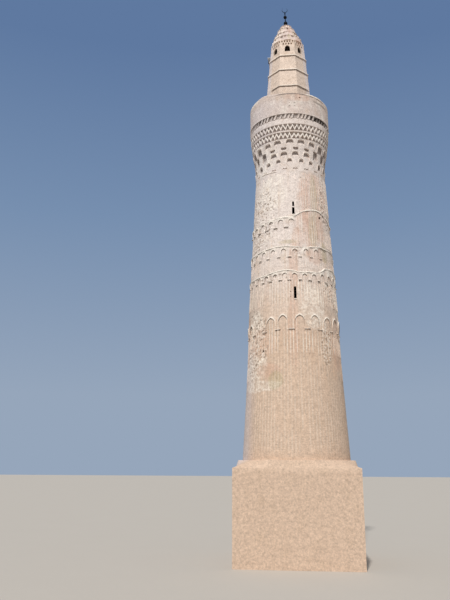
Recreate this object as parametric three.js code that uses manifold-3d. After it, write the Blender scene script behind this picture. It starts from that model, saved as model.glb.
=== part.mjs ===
// A round, whitewashed brick minaret: a square base, a tapering shaft with blind arcades, a gallery on
// corbelled niches, and an eight-sided lantern with a scalloped cap and a crescent.
// Millimetres, +Z up. The origin is the tower's centre at ground level, and -Y is the front.

import * as THREE from 'three';
import { mergeVertices } from 'three/addons/utils/BufferGeometryUtils.js';
import Module from 'manifold-3d';

const wasm = await Module();
wasm.setup();

// Levels above the ground
const FLOOR_TOP = 200;
const BASE_WALL_TOP = 4600;
const BASE_EDGE_TOP = 4900;
const SHAFT_FOOT = 5300;
const CORBEL_FOOT = 21900;
const SLAB_FOOT = 25250;
const GALLERY_LEVEL = 25550;
const PARAPET_TOP = 26780;
const LANTERN_BEND = 28120;
const LANTERN_TOP = 31600;
const CAP_TOP = 33450;
const FINIAL_TOP = 34790;

// Square base
const BASE_HALF = 3300;
const ROOM_HALF = 1900;
const BASE_CHAMFER = 50;
const BASE_TOP_FLAT = 3150;
const DOORWAY = { width: 900, spring: 1950, apex: 2500 };

// Round shaft: the outer radius is measured to the corners of a 32-sided wall
const SHAFT_NECK_RADIUS = 2130;
const SHAFT_NECK_LEVEL = 22000;
const SHAFT_TAPER = 0.056;
const WELL_FOOT_FLAT = 1600;
const WELL_TOP_FLAT = 1100;
const SLIT = { width: 130, height: 760, offset: 140, feet: [14000, 19160] };

// Gallery
const GALLERY_RADIUS = 2470;
const GALLERY_RIM_RADIUS = 2450;
const GALLERY_INNER_RADIUS = 2200;
const SLAB_RADIUS = 2380;
const HATCH_SIDE = 900;
const TOOTH_COUNT = 44;
const TOOTH_ROOT_PROUD = 20;
const QUARTERS = ['front', 'right', 'back', 'left'];

// Corbel: outer radius at each level, and the rows of niches cut in it
const CORBEL_PROFILE = [
  [CORBEL_FOOT, 2136],
  [22500, 2165],
  [23100, 2225],
  [23700, 2300],
  [24300, 2370],
  [24900, 2415],
  [SLAB_FOOT, 2440],
];
const NICHE_COUNT = 20;
const NICHE_DEPTH = 120;
const NICHE_SPRING_SHARE = 0.45;
const NICHE_ROWS = [
  { foot: 22290, height: 330, width: 290, phase: 0 },
  { foot: 22760, height: 380, width: 320, phase: 0.5 },
  { foot: 23460, height: 420, width: 330, phase: 0 },
];

// Blind arcades that hang from the string courses of the shaft
const FRIEZES = [
  { top: 19000, string: 70, apex: 18800, foot: 18290, count: 24, phase: 0 },
  { top: 17220, string: 70, apex: 17010, foot: 16480, count: 24, phase: 0.27 },
  { top: 15730, string: 70, apex: 15520, foot: 15080, count: 28, phase: 0.24 },
  { top: 13280, string: 0, apex: 13120, foot: 12300, count: 20, phase: 0.42 },
];
const STRING_PROUD = 75;
const STRING_TOP_PROUD = 55;
const ARCADE_PROUD = 40;
const ARCH_WIDTH_SHARE = 0.74;
const ARCH_CURVE_SHARE = 0.42;

// Eight-sided lantern: distances from the axis to the flat faces
const LANTERN_FOOT_FLAT = 1400;
const LANTERN_BEND_FLAT = 1335;
const LANTERN_TOP_FLAT = 1030;
const LANTERN_ROOM_FOOT_FLAT = 1050;
const LANTERN_ROOM_TOP_FLAT = 700;
const LANTERN_DOORWAY = { width: 600, spring: 27050, apex: 27400 };
const LANTERN_WINDOW = { width: 340, foot: 30710, spring: 30960, apex: 31180 };
const LANTERN_STRINGS = [28070, 29270, 30350];
const LANTERN_STRING_HEIGHT = 60;
const LANTERN_STRING_PROUD = 50;

// Cap: radius and level of each step, and the hollow inside it
const CAP_PROFILE = [
  [1090, LANTERN_TOP],
  [1040, 31850],
  [950, 32060],
  [890, 32100],
  [760, 32480],
  [690, 32520],
  [575, 32940],
  [430, 32990],
  [350, 33270],
  [250, 33310],
];
const CAP_KNOB_RADIUS = 210;
const CAP_SIDES = 16;
const CAP_HOLLOW = { radius: 620, level: 32500, topRadius: 200 };

// Metalwork
const FINIAL_ROD_RADIUS = 22;
const ROD_SIDES = 10;
const BALL_SIDES = 12;
const BALL_STEPS = 6;
const FINIAL_BALLS = [
  { level: 33612, radius: 108 },
  { level: 34057, radius: 96 },
  { level: 34327, radius: 52 },
];
const CRESCENT = { radius: 210, bite: 185, rise: 30, thickness: 30, segments: 6 };
const LAMP = { foot: 30430, height: 360, half: 85, depth: 130, forward: 310, hood: 40, overhang: 35 };

// Side gap between neighbouring wall segments, and the gap behind a ring
const JOINT = 0.2;
const RING_GAP = 0.5;

// How far parts of one piece overlap, how far a cutter reaches past the surfaces that it cuts, and the
// height of a step between two levels
const OVERLAP = 10;
const CUTTER_REACH = 200;
const STEP = 1;

// Pointed arch: how far across and up its curves pull, and the foot that it keeps on each jamb
const ARCH_PULL = { across: 0.9, up: 0.7 };
const ARCH_FOOT = 1;

const EIGHTH = Math.PI / 4;
const WALL_FACETS = 4;
const ROUND_SIDES = 8 * WALL_FACETS;
const SIDES = ['front', 'front_right', 'right', 'back_right', 'back', 'back_left', 'left', 'front_left'];
const BACK = SIDES.indexOf('back');
const LEFT = SIDES.indexOf('left');

const PLASTER = { color: 0xdccab8, roughness: 0.93, metalness: 0 };
const SHADED_PLASTER = { color: 0xcdb9a6, roughness: 0.95, metalness: 0 };
const EARTH = { color: 0xb09a82, roughness: 0.97, metalness: 0 };
const DARK_METAL = { color: 0x2b2a2c, roughness: 0.5, metalness: 0.8 };
const GREY_ENAMEL = { color: 0x8f9296, roughness: 0.45, metalness: 0.2 };

const minaret = new THREE.Group();

function addPiece(name, geometry, finish) {
  const mesh = new THREE.Mesh(geometry, new THREE.MeshStandardMaterial(finish));
  mesh.name = name;
  minaret.add(mesh);
}

// Value between two ends, at a level between their levels
function between(level, lowLevel, lowValue, highLevel, highValue) {
  return lowValue + (highValue - lowValue) * (level - lowLevel) / (highLevel - lowLevel);
}

function shaftRadius(level) {
  return SHAFT_NECK_RADIUS + SHAFT_TAPER * (SHAFT_NECK_LEVEL - level);
}

function wellFlat(level) {
  return between(level, SHAFT_FOOT, WELL_FOOT_FLAT, SLAB_FOOT, WELL_TOP_FLAT);
}

function lanternFlat(level) {
  return level < LANTERN_BEND
    ? between(level, GALLERY_LEVEL, LANTERN_FOOT_FLAT, LANTERN_BEND, LANTERN_BEND_FLAT)
    : between(level, LANTERN_BEND, LANTERN_BEND_FLAT, LANTERN_TOP, LANTERN_TOP_FLAT);
}

function lanternRoomFlat(level) {
  return between(level, GALLERY_LEVEL, LANTERN_ROOM_FOOT_FLAT, LANTERN_TOP, LANTERN_ROOM_TOP_FLAT);
}

function cornerRadius(flat) {
  return flat / Math.cos(EIGHTH / 2);
}

// Point at an angle from the front, turning to the right, pushed sideways by a shift
function at(angle, radius, level, shift = 0) {
  const x = radius * Math.sin(angle) + shift * Math.cos(angle);
  const y = -radius * Math.cos(angle) + shift * Math.sin(angle);
  return new THREE.Vector3(x, y, level);
}

// Closed solid through rings of points, anticlockwise seen from above, the lowest ring first
function loft(rings) {
  const count = rings[0].length;
  const positions = rings.flat().flatMap((point) => point.toArray());
  const indices = [];
  for (let low = 0; low < (rings.length - 1) * count; low += count) {
    for (let i = 0; i < count; i++) {
      const a = low + i;
      const b = low + (i + 1) % count;
      indices.push(a, b, b + count, a, b + count, a + count);
    }
  }
  const top = (rings.length - 1) * count;
  for (const [a, b, c] of flatFaces(rings[0])) indices.push(c, b, a);
  for (const [a, b, c] of flatFaces(rings.at(-1))) indices.push(top + a, top + b, top + c);
  const geometry = new THREE.BufferGeometry();
  geometry.setAttribute('position', new THREE.Float32BufferAttribute(positions, 3));
  geometry.setIndex(indices);
  geometry.computeVertexNormals();
  return geometry;
}

function flatFaces(ring) {
  const outline = ring.map((point) => new THREE.Vector2(point.x, point.y));
  return THREE.ShapeUtils.triangulateShape(outline, []);
}

function toSolid(geometry) {
  const bare = geometry.clone();
  bare.deleteAttribute('normal');
  bare.deleteAttribute('uv');
  const merged = mergeVertices(bare, 1e-3);
  const mesh = new wasm.Mesh({
    numProp: 3,
    vertProperties: new Float32Array(merged.attributes.position.array),
    triVerts: new Uint32Array(merged.index.array),
  });
  return new wasm.Manifold(mesh);
}

function toGeometry(solid) {
  const mesh = solid.getMesh();
  const geometry = new THREE.BufferGeometry();
  geometry.setAttribute('position', new THREE.Float32BufferAttribute(mesh.vertProperties, 3));
  geometry.setIndex(Array.from(mesh.triVerts));
  geometry.computeVertexNormals();
  return geometry;
}

function cut(geometry, cutters) {
  let solid = toSolid(geometry);
  for (const cutter of cutters) solid = solid.subtract(toSolid(cutter));
  return toGeometry(solid);
}

function join(geometries) {
  return toGeometry(geometries.map(toSolid).reduce((whole, piece) => whole.add(piece)));
}

function block(low, high) {
  const size = high.map((value, i) => value - low[i]);
  const middle = high.map((value, i) => (value + low[i]) / 2);
  return new THREE.BoxGeometry(...size).translate(...middle);
}

// Ring of a regular polygon with a corner at half a side from the front
function polygonRing(sides, radius, level) {
  const turn = 2 * Math.PI / sides;
  return Array.from({ length: sides }, (_, i) => at((i - 0.5) * turn, radius, level));
}

// Ring of points on the round wall, with a point at each joint of the wall segments
function roundRing(radius, level) {
  const turn = EIGHTH / WALL_FACETS;
  return Array.from({ length: ROUND_SIDES }, (_, i) => at((i - WALL_FACETS / 2) * turn, radius, level));
}

// Outline of a pointed arch standing on its foot
function pointedArch({ width, foot, spring, apex }) {
  const half = width / 2;
  const pull = ARCH_PULL.across * half;
  const shoulder = spring + ARCH_PULL.up * (apex - spring);
  const outline = new THREE.Shape();
  outline.moveTo(-half, foot);
  outline.lineTo(half, foot);
  outline.lineTo(half, spring);
  outline.quadraticCurveTo(pull, shoulder, 0, apex);
  outline.quadraticCurveTo(-pull, shoulder, -half, spring);
  outline.closePath();
  return outline;
}

// Outline pushed out from the axis, between two distances, and turned to face an angle
function radialPrism(outline, near, far, angle, curveSegments = 3) {
  const depth = far - near;
  const prism = new THREE.ExtrudeGeometry(outline, { depth, bevelEnabled: false, curveSegments });
  return prism.translate(0, 0, near).rotateX(Math.PI / 2).rotateZ(angle);
}

// Cross-section of one eighth of a round wall around an eight-sided well
function wallRing(side, level, radius, flat) {
  const start = (side - 0.5) * EIGHTH;
  const ring = [];
  for (let i = 0; i <= WALL_FACETS; i++) {
    const shift = i === 0 ? JOINT : (i === WALL_FACETS ? -JOINT : 0);
    ring.push(at(start + i * EIGHTH / WALL_FACETS, radius, level, shift));
  }
  ring.push(at(start + EIGHTH, cornerRadius(flat), level, -JOINT));
  ring.push(at(start, cornerRadius(flat), level, JOINT));
  return ring;
}

// Cross-section of one face of the lantern
function panelRing(side, level, flat, roomFlat) {
  const start = (side - 0.5) * EIGHTH;
  const end = start + EIGHTH;
  return [
    at(start, cornerRadius(flat), level, JOINT),
    at(end, cornerRadius(flat), level, -JOINT),
    at(end, cornerRadius(roomFlat), level, -JOINT),
    at(start, cornerRadius(roomFlat), level, JOINT),
  ];
}

function buildBase() {
  const doorHalf = DOORWAY.width / 2;
  const room = block([-ROOM_HALF, -ROOM_HALF, 0], [ROOM_HALF, ROOM_HALF, FLOOR_TOP]);
  const threshold = block([-doorHalf, ROOM_HALF, 0], [doorHalf, BASE_HALF, FLOOR_TOP]);
  addPiece('ground_floor', join([room, threshold]), EARTH);

  const top = BASE_WALL_TOP;
  addPiece('base_wall_front', block([-BASE_HALF, -BASE_HALF, 0], [BASE_HALF, -ROOM_HALF, top]), PLASTER);
  addPiece('base_wall_left', block([-BASE_HALF, -ROOM_HALF, 0], [-ROOM_HALF, ROOM_HALF, top]), PLASTER);
  addPiece('base_wall_right', block([ROOM_HALF, -ROOM_HALF, 0], [BASE_HALF, ROOM_HALF, top]), PLASTER);
  addPiece('base_wall_back_left', block([-BASE_HALF, ROOM_HALF, 0], [-doorHalf, BASE_HALF, top]), PLASTER);
  addPiece('base_wall_back_right', block([doorHalf, ROOM_HALF, 0], [BASE_HALF, BASE_HALF, top]), PLASTER);

  const lintel = block([-doorHalf, ROOM_HALF, DOORWAY.spring], [doorHalf, BASE_HALF, top]);
  const arch = pointedArch({ ...DOORWAY, width: DOORWAY.width - 2 * ARCH_FOOT, foot: 0 });
  const passage = radialPrism(arch, ROOM_HALF - CUTTER_REACH, BASE_HALF + CUTTER_REACH, Math.PI);
  addPiece('base_arch_over_doorway', cut(lintel, [passage]), PLASTER);

  addPiece('base_roof', buildBaseRoof(), PLASTER);
}

// Flat slab whose corners slope up to an eight-sided top, with the stair well through it
function buildBaseRoof() {
  const square = (level) => chamferedSquare(BASE_HALF, BASE_HALF - BASE_CHAMFER, level);
  const topHalf = BASE_TOP_FLAT * Math.tan(EIGHTH / 2);
  const top = chamferedSquare(BASE_TOP_FLAT, topHalf, SHAFT_FOOT);
  const roof = loft([square(BASE_WALL_TOP), square(BASE_EDGE_TOP), top]);
  const wellRadius = cornerRadius(WELL_FOOT_FLAT);
  const ends = [BASE_WALL_TOP - OVERLAP, SHAFT_FOOT + OVERLAP];
  return cut(roof, [loft(ends.map((level) => polygonRing(8, wellRadius, level)))]);
}

function chamferedSquare(flat, half, level) {
  const corners = [];
  for (let quarter = 0; quarter < 4; quarter++) {
    const turn = quarter * Math.PI / 2;
    corners.push(at(turn, flat, level, -half), at(turn, flat, level, half));
  }
  return corners;
}

function buildShaft() {
  SIDES.forEach((name, side) => {
    const rings = [SHAFT_FOOT, CORBEL_FOOT].map((level) => {
      return wallRing(side, level, shaftRadius(level), wellFlat(level));
    });
    const wall = loft(rings);
    const lit = name === 'front' || name === 'back';
    const slits = lit ? SLIT.feet.map((foot) => slitCutter(foot, side * EIGHTH)) : [];
    addPiece(`shaft_wall_${name}`, lit ? cut(wall, slits) : wall, PLASTER);
  });
}

function slitCutter(foot, angle) {
  const left = SLIT.offset - SLIT.width / 2;
  const low = [left, -BASE_HALF, foot];
  const high = [left + SLIT.width, -WELL_TOP_FLAT / 2, foot + SLIT.height];
  return block(low, high).rotateZ(angle);
}

// Closed ring around the shaft, from stacked levels that each have an outer radius
function ringAround(levels) {
  const outer = levels.map(([level, proud]) => roundRing(shaftRadius(level) + proud, level));
  const low = levels[0][0] - OVERLAP;
  const high = levels.at(-1)[0] + OVERLAP;
  const core = [low, high].map((level) => roundRing(shaftRadius(level) + RING_GAP, level));
  return cut(loft(outer), [loft(core)]);
}

// String course with a row of hanging blind arches under it
function buildFriezes() {
  FRIEZES.forEach(({ top, string, apex, foot, count, phase }, index) => {
    const band = [[foot, ARCADE_PROUD], [top - string, ARCADE_PROUD]];
    const ledge = [[top - string + STEP, STRING_PROUD], [top, STRING_TOP_PROUD]];
    const levels = string > 0 ? [...band, ...ledge] : band;
    const pitch = 2 * Math.PI / count;
    const width = ARCH_WIDTH_SHARE * pitch * shaftRadius(foot);
    const spring = apex - ARCH_CURVE_SHARE * (apex - foot);
    const arch = pointedArch({ width, foot: foot - OVERLAP, spring, apex });
    const near = shaftRadius(top) - CUTTER_REACH;
    const far = shaftRadius(foot) + CUTTER_REACH;
    const arches = Array.from({ length: count }, (_, i) => {
      return radialPrism(arch, near, far, (i + phase) * pitch, 2);
    });
    addPiece(`blind_arcade_${index + 1}`, cut(ringAround(levels), arches), SHADED_PLASTER);
  });
}

function buildCorbel() {
  SIDES.forEach((name, side) => {
    const rings = CORBEL_PROFILE.map(([level, radius]) => wallRing(side, level, radius, wellFlat(level)));
    addPiece(`corbel_${name}`, cut(loft(rings), nicheCutters(side)), SHADED_PLASTER);
  });
}

// The niches whose middle lies in one eighth of the corbel
function nicheCutters(side) {
  const cutters = [];
  for (const { foot, height, width, phase } of NICHE_ROWS) {
    const spring = foot + NICHE_SPRING_SHARE * height;
    const arch = pointedArch({ width, foot, spring, apex: foot + height });
    const radius = corbelRadius(foot + height / 2);
    for (let i = 0; i < NICHE_COUNT; i++) {
      const angle = (i + phase) * 2 * Math.PI / NICHE_COUNT;
      if (Math.round(angle / EIGHTH) % 8 !== side) continue;
      cutters.push(radialPrism(arch, radius - NICHE_DEPTH, radius + CUTTER_REACH, angle, 1));
    }
  }
  return cutters;
}

function corbelRadius(level) {
  const next = CORBEL_PROFILE.findIndex(([high]) => high >= level);
  const [lowLevel, low] = CORBEL_PROFILE[next - 1];
  const [highLevel, high] = CORBEL_PROFILE[next];
  return between(level, lowLevel, low, highLevel, high);
}

function buildGallery() {
  const slab = loft([SLAB_FOOT, GALLERY_LEVEL].map((level) => roundRing(SLAB_RADIUS, level)));
  const half = HATCH_SIDE / 2;
  const hatch = block([-half, -half, SLAB_FOOT - OVERLAP], [half, half, GALLERY_LEVEL + OVERLAP]);
  addPiece('gallery_floor', cut(slab, [hatch]), EARTH);
  addPiece('gallery_tooth_course', buildToothCourse(), SHADED_PLASTER);

  QUARTERS.forEach((name, quarter) => {
    const rings = [
      parapetRing(quarter, GALLERY_LEVEL, GALLERY_RADIUS),
      parapetRing(quarter, PARAPET_TOP, GALLERY_RIM_RADIUS),
    ];
    addPiece(`gallery_parapet_${name}`, loft(rings), PLASTER);
  });
}

// Course of bricks laid cornerwise, so that its plan is a saw
function buildToothCourse() {
  const root = SLAB_RADIUS + TOOTH_ROOT_PROUD;
  const saw = (level) => Array.from({ length: 2 * TOOTH_COUNT }, (_, i) => {
    return at(i * Math.PI / TOOTH_COUNT, i % 2 === 0 ? GALLERY_RADIUS : root, level);
  });
  const ends = [SLAB_FOOT - OVERLAP, GALLERY_LEVEL + OVERLAP];
  const core = loft(ends.map((level) => roundRing(SLAB_RADIUS + RING_GAP, level)));
  return cut(loft([saw(SLAB_FOOT), saw(GALLERY_LEVEL)]), [core]);
}

function parapetRing(quarter, level, radius) {
  const steps = 2 * WALL_FACETS;
  const start = (quarter - 0.5) * Math.PI / 2;
  const arc = (distance) => Array.from({ length: steps + 1 }, (_, i) => {
    const shift = i === 0 ? JOINT : (i === steps ? -JOINT : 0);
    return at(start + i * EIGHTH / WALL_FACETS, distance, level, shift);
  });
  return [...arc(radius), ...arc(GALLERY_INNER_RADIUS).reverse()];
}

function buildLantern() {
  SIDES.forEach((name, side) => {
    const rings = [GALLERY_LEVEL, LANTERN_BEND, LANTERN_TOP].map((level) => {
      return panelRing(side, level, lanternFlat(level), lanternRoomFlat(level));
    });
    const doorway = { ...LANTERN_DOORWAY, foot: GALLERY_LEVEL - OVERLAP };
    const openings = side === BACK ? [LANTERN_WINDOW, doorway] : [LANTERN_WINDOW];
    const near = LANTERN_ROOM_TOP_FLAT - CUTTER_REACH;
    const far = LANTERN_FOOT_FLAT + CUTTER_REACH;
    const cutters = openings.map((opening) => {
      return radialPrism(pointedArch(opening), near, far, side * EIGHTH);
    });
    addPiece(`lantern_wall_${name}`, cut(loft(rings), cutters), PLASTER);
  });

  LANTERN_STRINGS.forEach((foot, index) => {
    const top = foot + LANTERN_STRING_HEIGHT;
    const ledge = [foot, top].map((level) => lanternRing(level, LANTERN_STRING_PROUD));
    const low = foot - OVERLAP;
    const high = top + OVERLAP;
    const bend = [LANTERN_BEND].filter((level) => level > low && level < high);
    const wall = [low, ...bend, high].map((level) => lanternRing(level, RING_GAP));
    addPiece(`lantern_string_course_${index + 1}`, cut(loft(ledge), [loft(wall)]), SHADED_PLASTER);
  });
}

// Ring around the outside of the lantern, at a distance from its faces
function lanternRing(level, proud) {
  return polygonRing(8, cornerRadius(lanternFlat(level) + proud), level);
}

// Stepped cap with a hollow inside, turned about the axis
function buildCap() {
  const { radius: footRadius, topRadius, level: hollowTop } = CAP_HOLLOW;
  const steps = [[0, CAP_TOP], [CAP_KNOB_RADIUS, CAP_TOP], ...CAP_PROFILE.toReversed()];
  const hollow = [[footRadius, LANTERN_TOP], [topRadius, hollowTop], [0, hollowTop]];
  const points = [...steps, ...hollow].map(([radius, level]) => new THREE.Vector2(radius, level));
  return turned(points, CAP_SIDES);
}

// Solid of revolution about the tower's axis
function turned(points, sides) {
  const start = Math.PI / sides;
  return closed(new THREE.LatheGeometry(points, sides, start).rotateX(Math.PI / 2));
}

// The same solid with shared points merged, slivers dropped and its faces pointing out
function closed(geometry) {
  const bare = geometry.clone();
  bare.deleteAttribute('normal');
  bare.deleteAttribute('uv');
  const merged = mergeVertices(bare, 1e-3);
  const faces = [];
  for (let i = 0; i < merged.index.count; i += 3) {
    const face = [0, 1, 2].map((corner) => merged.index.getX(i + corner));
    if (new Set(face).size === 3) faces.push(face);
  }
  const points = merged.attributes.position;
  const volume = faces.reduce((sum, face) => {
    const [a, b, c] = face.map((index) => new THREE.Vector3().fromBufferAttribute(points, index));
    return sum + a.dot(b.cross(c));
  }, 0);
  merged.setIndex(faces.flatMap((face) => (volume < 0 ? face.toReversed() : face)));
  merged.computeVertexNormals();
  return merged;
}

function buildFinial() {
  const rodTop = crescentCentre() - CRESCENT.radius + CRESCENT.thickness;
  const length = rodTop - CAP_TOP;
  const rod = new THREE.CylinderGeometry(FINIAL_ROD_RADIUS, FINIAL_ROD_RADIUS, length, ROD_SIDES);
  const pieces = [rod.rotateX(Math.PI / 2).translate(0, 0, (rodTop + CAP_TOP) / 2)];
  for (const { level, radius } of FINIAL_BALLS) {
    pieces.push(turned(arcProfile(level, radius), BALL_SIDES));
  }
  pieces.push(crescent());
  return join(pieces.map(closed));
}

function arcProfile(level, radius) {
  return Array.from({ length: BALL_STEPS + 1 }, (_, i) => {
    const angle = Math.PI * i / BALL_STEPS;
    const distance = i % BALL_STEPS === 0 ? 0 : radius * Math.sin(angle);
    return new THREE.Vector2(distance, level + radius * Math.cos(angle));
  });
}

// Height of the crescent's tips over the middle of its outer circle
function crescentTip() {
  const { radius, bite, rise } = CRESCENT;
  return (radius ** 2 + rise ** 2 - bite ** 2) / (2 * rise);
}

function crescentCentre() {
  return FINIAL_TOP - crescentTip();
}

// Crescent open upwards, standing on the rod, its flat sides to the front and back
function crescent() {
  const { radius, bite, rise, thickness, segments } = CRESCENT;
  const tilt = Math.acos(crescentTip() / radius);
  const innerTilt = Math.acos((crescentTip() - rise) / bite);
  const centre = crescentCentre();
  const outline = new THREE.Shape();
  const up = Math.PI / 2;
  outline.absarc(0, centre, radius, up + tilt, up - tilt + 2 * Math.PI, false);
  outline.absarc(0, centre + rise, bite, up - innerTilt, up + innerTilt, true);
  const settings = { depth: thickness, bevelEnabled: false, curveSegments: segments };
  const plate = new THREE.ExtrudeGeometry(outline, settings);
  return plate.translate(0, 0, -thickness / 2).rotateX(Math.PI / 2);
}

// Lamp box under a sloping hood, flat against the left face of the lantern in front of its window
function buildLamp() {
  const { foot, height, half, depth, forward, hood, overhang } = LAMP;
  const front = -lanternFlat(foot) - depth;
  const slab = (low, high, side, reach) => loft([low, high].map((level) => [
    new THREE.Vector3(-side, front - reach, level),
    new THREE.Vector3(side, front - reach, level),
    new THREE.Vector3(side, -lanternFlat(level) - RING_GAP, level),
    new THREE.Vector3(-side, -lanternFlat(level) - RING_GAP, level),
  ]));
  const body = slab(foot, foot + height - hood + OVERLAP, half, 0);
  const cover = slab(foot + height - hood, foot + height, half + overhang / 2, overhang);
  return join([body, cover]).translate(forward, 0, 0).rotateZ(LEFT * EIGHTH);
}

buildBase();
buildShaft();
buildFriezes();
buildCorbel();
buildGallery();
buildLantern();
addPiece('cap', buildCap(), PLASTER);
addPiece('finial', buildFinial(), DARK_METAL);
addPiece('wall_lamp', buildLamp(), GREY_ENAMEL);

export default minaret;
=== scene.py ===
# %% [markdown]
# # A whitewashed brick minaret
#
# A round, tapering tower of brick under lime wash carries a gallery on a corbel of small niches, and
# above it an eight-sided lantern with a scalloped cap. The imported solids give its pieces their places.
# This script puts the surface on them: brick courses, worn wash, hanging arches, niches, zigzags and
# stains. Everything is in metres, +Z is up, and the front of the tower faces -Y.

# %% Load the frame
import functools
import math

import bmesh
import bpy
import numpy as np
from mathutils import Matrix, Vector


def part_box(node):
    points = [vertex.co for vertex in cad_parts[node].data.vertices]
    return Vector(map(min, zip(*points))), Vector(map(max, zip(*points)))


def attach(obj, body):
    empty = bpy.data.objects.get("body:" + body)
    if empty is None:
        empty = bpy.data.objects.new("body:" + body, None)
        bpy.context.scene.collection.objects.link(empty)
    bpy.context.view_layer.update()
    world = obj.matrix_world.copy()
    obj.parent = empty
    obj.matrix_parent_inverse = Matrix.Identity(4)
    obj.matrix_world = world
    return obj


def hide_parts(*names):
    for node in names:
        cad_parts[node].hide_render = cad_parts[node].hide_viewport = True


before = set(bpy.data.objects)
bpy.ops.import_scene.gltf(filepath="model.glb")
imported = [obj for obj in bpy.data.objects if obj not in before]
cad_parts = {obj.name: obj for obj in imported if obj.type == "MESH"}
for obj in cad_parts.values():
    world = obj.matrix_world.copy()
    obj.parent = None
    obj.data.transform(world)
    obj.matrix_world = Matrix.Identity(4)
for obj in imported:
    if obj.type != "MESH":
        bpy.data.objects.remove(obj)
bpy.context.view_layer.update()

# %% [markdown]
# ## Sizes
#
# The levels and radii of the solids, in metres, or a few centimetres off where the photograph asks for
# it. A round tower is easiest to describe by an angle from the front, turning to the right, a radius
# and a level, so every piece below is placed that way.

# %% Levels and radii
BASE_WALL_TOP, BASE_EDGE_TOP, SHAFT_FOOT = 4.6, 4.9, 5.3
CORBEL_FOOT, SLAB_FOOT, GALLERY_LEVEL, PARAPET_TOP = 21.9, 25.25, 25.55, 26.89
TEETH_FOOT, TEETH_TOP = 25.19, 25.51
LANTERN_BEND, LANTERN_TOP, CAP_TOP = 28.12, 31.6, 33.41
BASE_HALF, ROOM_HALF, BASE_TOP_FLAT = 3.3, 1.9, 3.15
# The shaft's radius at its neck grows by TAPER a metre downwards, and its foot is a little slimmer.
NECK_RADIUS, NECK_LEVEL, TAPER = 2.13, 22.0, 0.056
SLIM_FOOT, SLIM_LOW, SLIM_HIGH = 0.07, 11.4, 13.5
SWELL_FOOT, SWELL = 22.45, 0.304
SLAB_RADIUS, PARAPET_RADIUS, PARAPET_INNER = 2.38, 2.47, 2.2
# From the axis to a flat side: of the well and of the lantern's room at foot and top, and of the
# lantern at its foot, at the bend and at its top.
WELL_FLATS, LANTERN_ROOM_FLATS = [1.6, 1.1], [1.05, 0.7]
LANTERN_FLATS = [1.4, 1.335, 1.03]
LEDGES = [28.06, 29.26, 30.34]
SIDES = ["front", "front_right", "right", "back_right", "back", "back_left", "left", "front_left"]
print("levels from", SHAFT_FOOT, "to", CAP_TOP)

# %% Radii at a level
def shaft_radius(level):
    """Radius of the tapering shaft, with its slimmer foot."""
    share = np.clip((SLIM_HIGH - level) / (SLIM_HIGH - SLIM_LOW), 0, 1)
    return NECK_RADIUS + TAPER * (NECK_LEVEL - level) - SLIM_FOOT * share ** 2 * (3 - 2 * share)


def well_flat(level):
    return np.interp(level, [SHAFT_FOOT, SLAB_FOOT], WELL_FLATS)


def corbel_radius(level):
    """Radius of the wall where it swells out under the gallery, in a soft S."""
    share = np.clip((level - SWELL_FOOT) / (SLAB_FOOT - SWELL_FOOT), 0, 1)
    return shaft_radius(CORBEL_FOOT) + SWELL * share ** 2 * (3 - 2 * share)


def lantern_flat(level):
    return np.interp(level, [GALLERY_LEVEL, LANTERN_BEND, LANTERN_TOP], LANTERN_FLATS)


def lantern_room_flat(level):
    return np.interp(level, [GALLERY_LEVEL, LANTERN_TOP], LANTERN_ROOM_FLATS)


def octagon(angles, flat):
    """Radius of an eight-sided outline at each angle, from the distance to its flats."""
    return flat / np.cos((angles + math.pi / 8) % (math.pi / 4) - math.pi / 8)


def square(angles, half):
    """Radius of a square outline at each angle, from half its width."""
    return half / np.maximum(np.abs(np.sin(angles)), np.abs(np.cos(angles)))


def apart(degrees, middle):
    """How many degrees lie between angles and a middle, going the short way round."""
    return np.abs((degrees - middle + 180) % 360 - 180)


def even_angles(count):
    """Angles of evenly spaced columns, in radians from the front."""
    return np.arange(count) * math.tau / count


print("shaft radius", round(shaft_radius(SHAFT_FOOT), 3), "to", round(shaft_radius(CORBEL_FOOT), 3))

# %% [markdown]
# ## Node trees written as Python
#
# Materials and Geometry Nodes are both node trees, and most of their nodes are arithmetic. Placing them
# one by one hides the idea, so a small class wraps an output socket and gives it Python's operators:
# `1 - mask` adds a Math node. One method makes any other node.

# %% Wires
def pick(sockets, key):
    """A node's socket by its place, its identifier or its name."""
    if isinstance(key, int):
        return sockets[key]
    exact = [s for s in sockets if s.identifier == key]
    return (exact or [s for s in sockets if s.name == key and s.enabled])[0]


class Wire:
    """An output socket of a node tree, with arithmetic."""

    def __init__(self, plan, socket):
        self.plan = plan
        self.socket = socket

    def out(self, key):
        return Wire(self.plan, pick(self.socket.node.outputs, key))

    def maths(self, operation, *values):
        return self.plan.node("ShaderNodeMath", {"operation": operation}, dict(enumerate(values)))

    def __add__(self, other):
        return self.maths("ADD", self, other)

    __radd__ = __add__

    def __sub__(self, other):
        return self.maths("SUBTRACT", self, other)

    def __rsub__(self, other):
        return self.maths("SUBTRACT", other, self)

    def __mul__(self, other):
        return self.maths("MULTIPLY", self, other)

    __rmul__ = __mul__

    def __truediv__(self, other):
        return self.maths("DIVIDE", self, other)

    def __rtruediv__(self, other):
        return self.maths("DIVIDE", other, self)

    def most(self, other):
        return self.maths("MAXIMUM", self, other)

    def least(self, other):
        return self.maths("MINIMUM", self, other)

    def size(self):
        return self.maths("ABSOLUTE", self)

    def step(self, low, high):
        """0 below low, 1 above high, and smooth between; high may lie below low."""
        inputs = {"Value": self, "From Min": low, "From Max": high}
        return self.plan.node("ShaderNodeMapRange", {"interpolation_type": "SMOOTHSTEP"}, inputs)

    def between(self, low, high, soft):
        """1 between two values and 0 outside them, with soft ends."""
        return self.step(low - soft, low + soft) * self.step(high + soft, high - soft)


print("wires ready")

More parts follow.
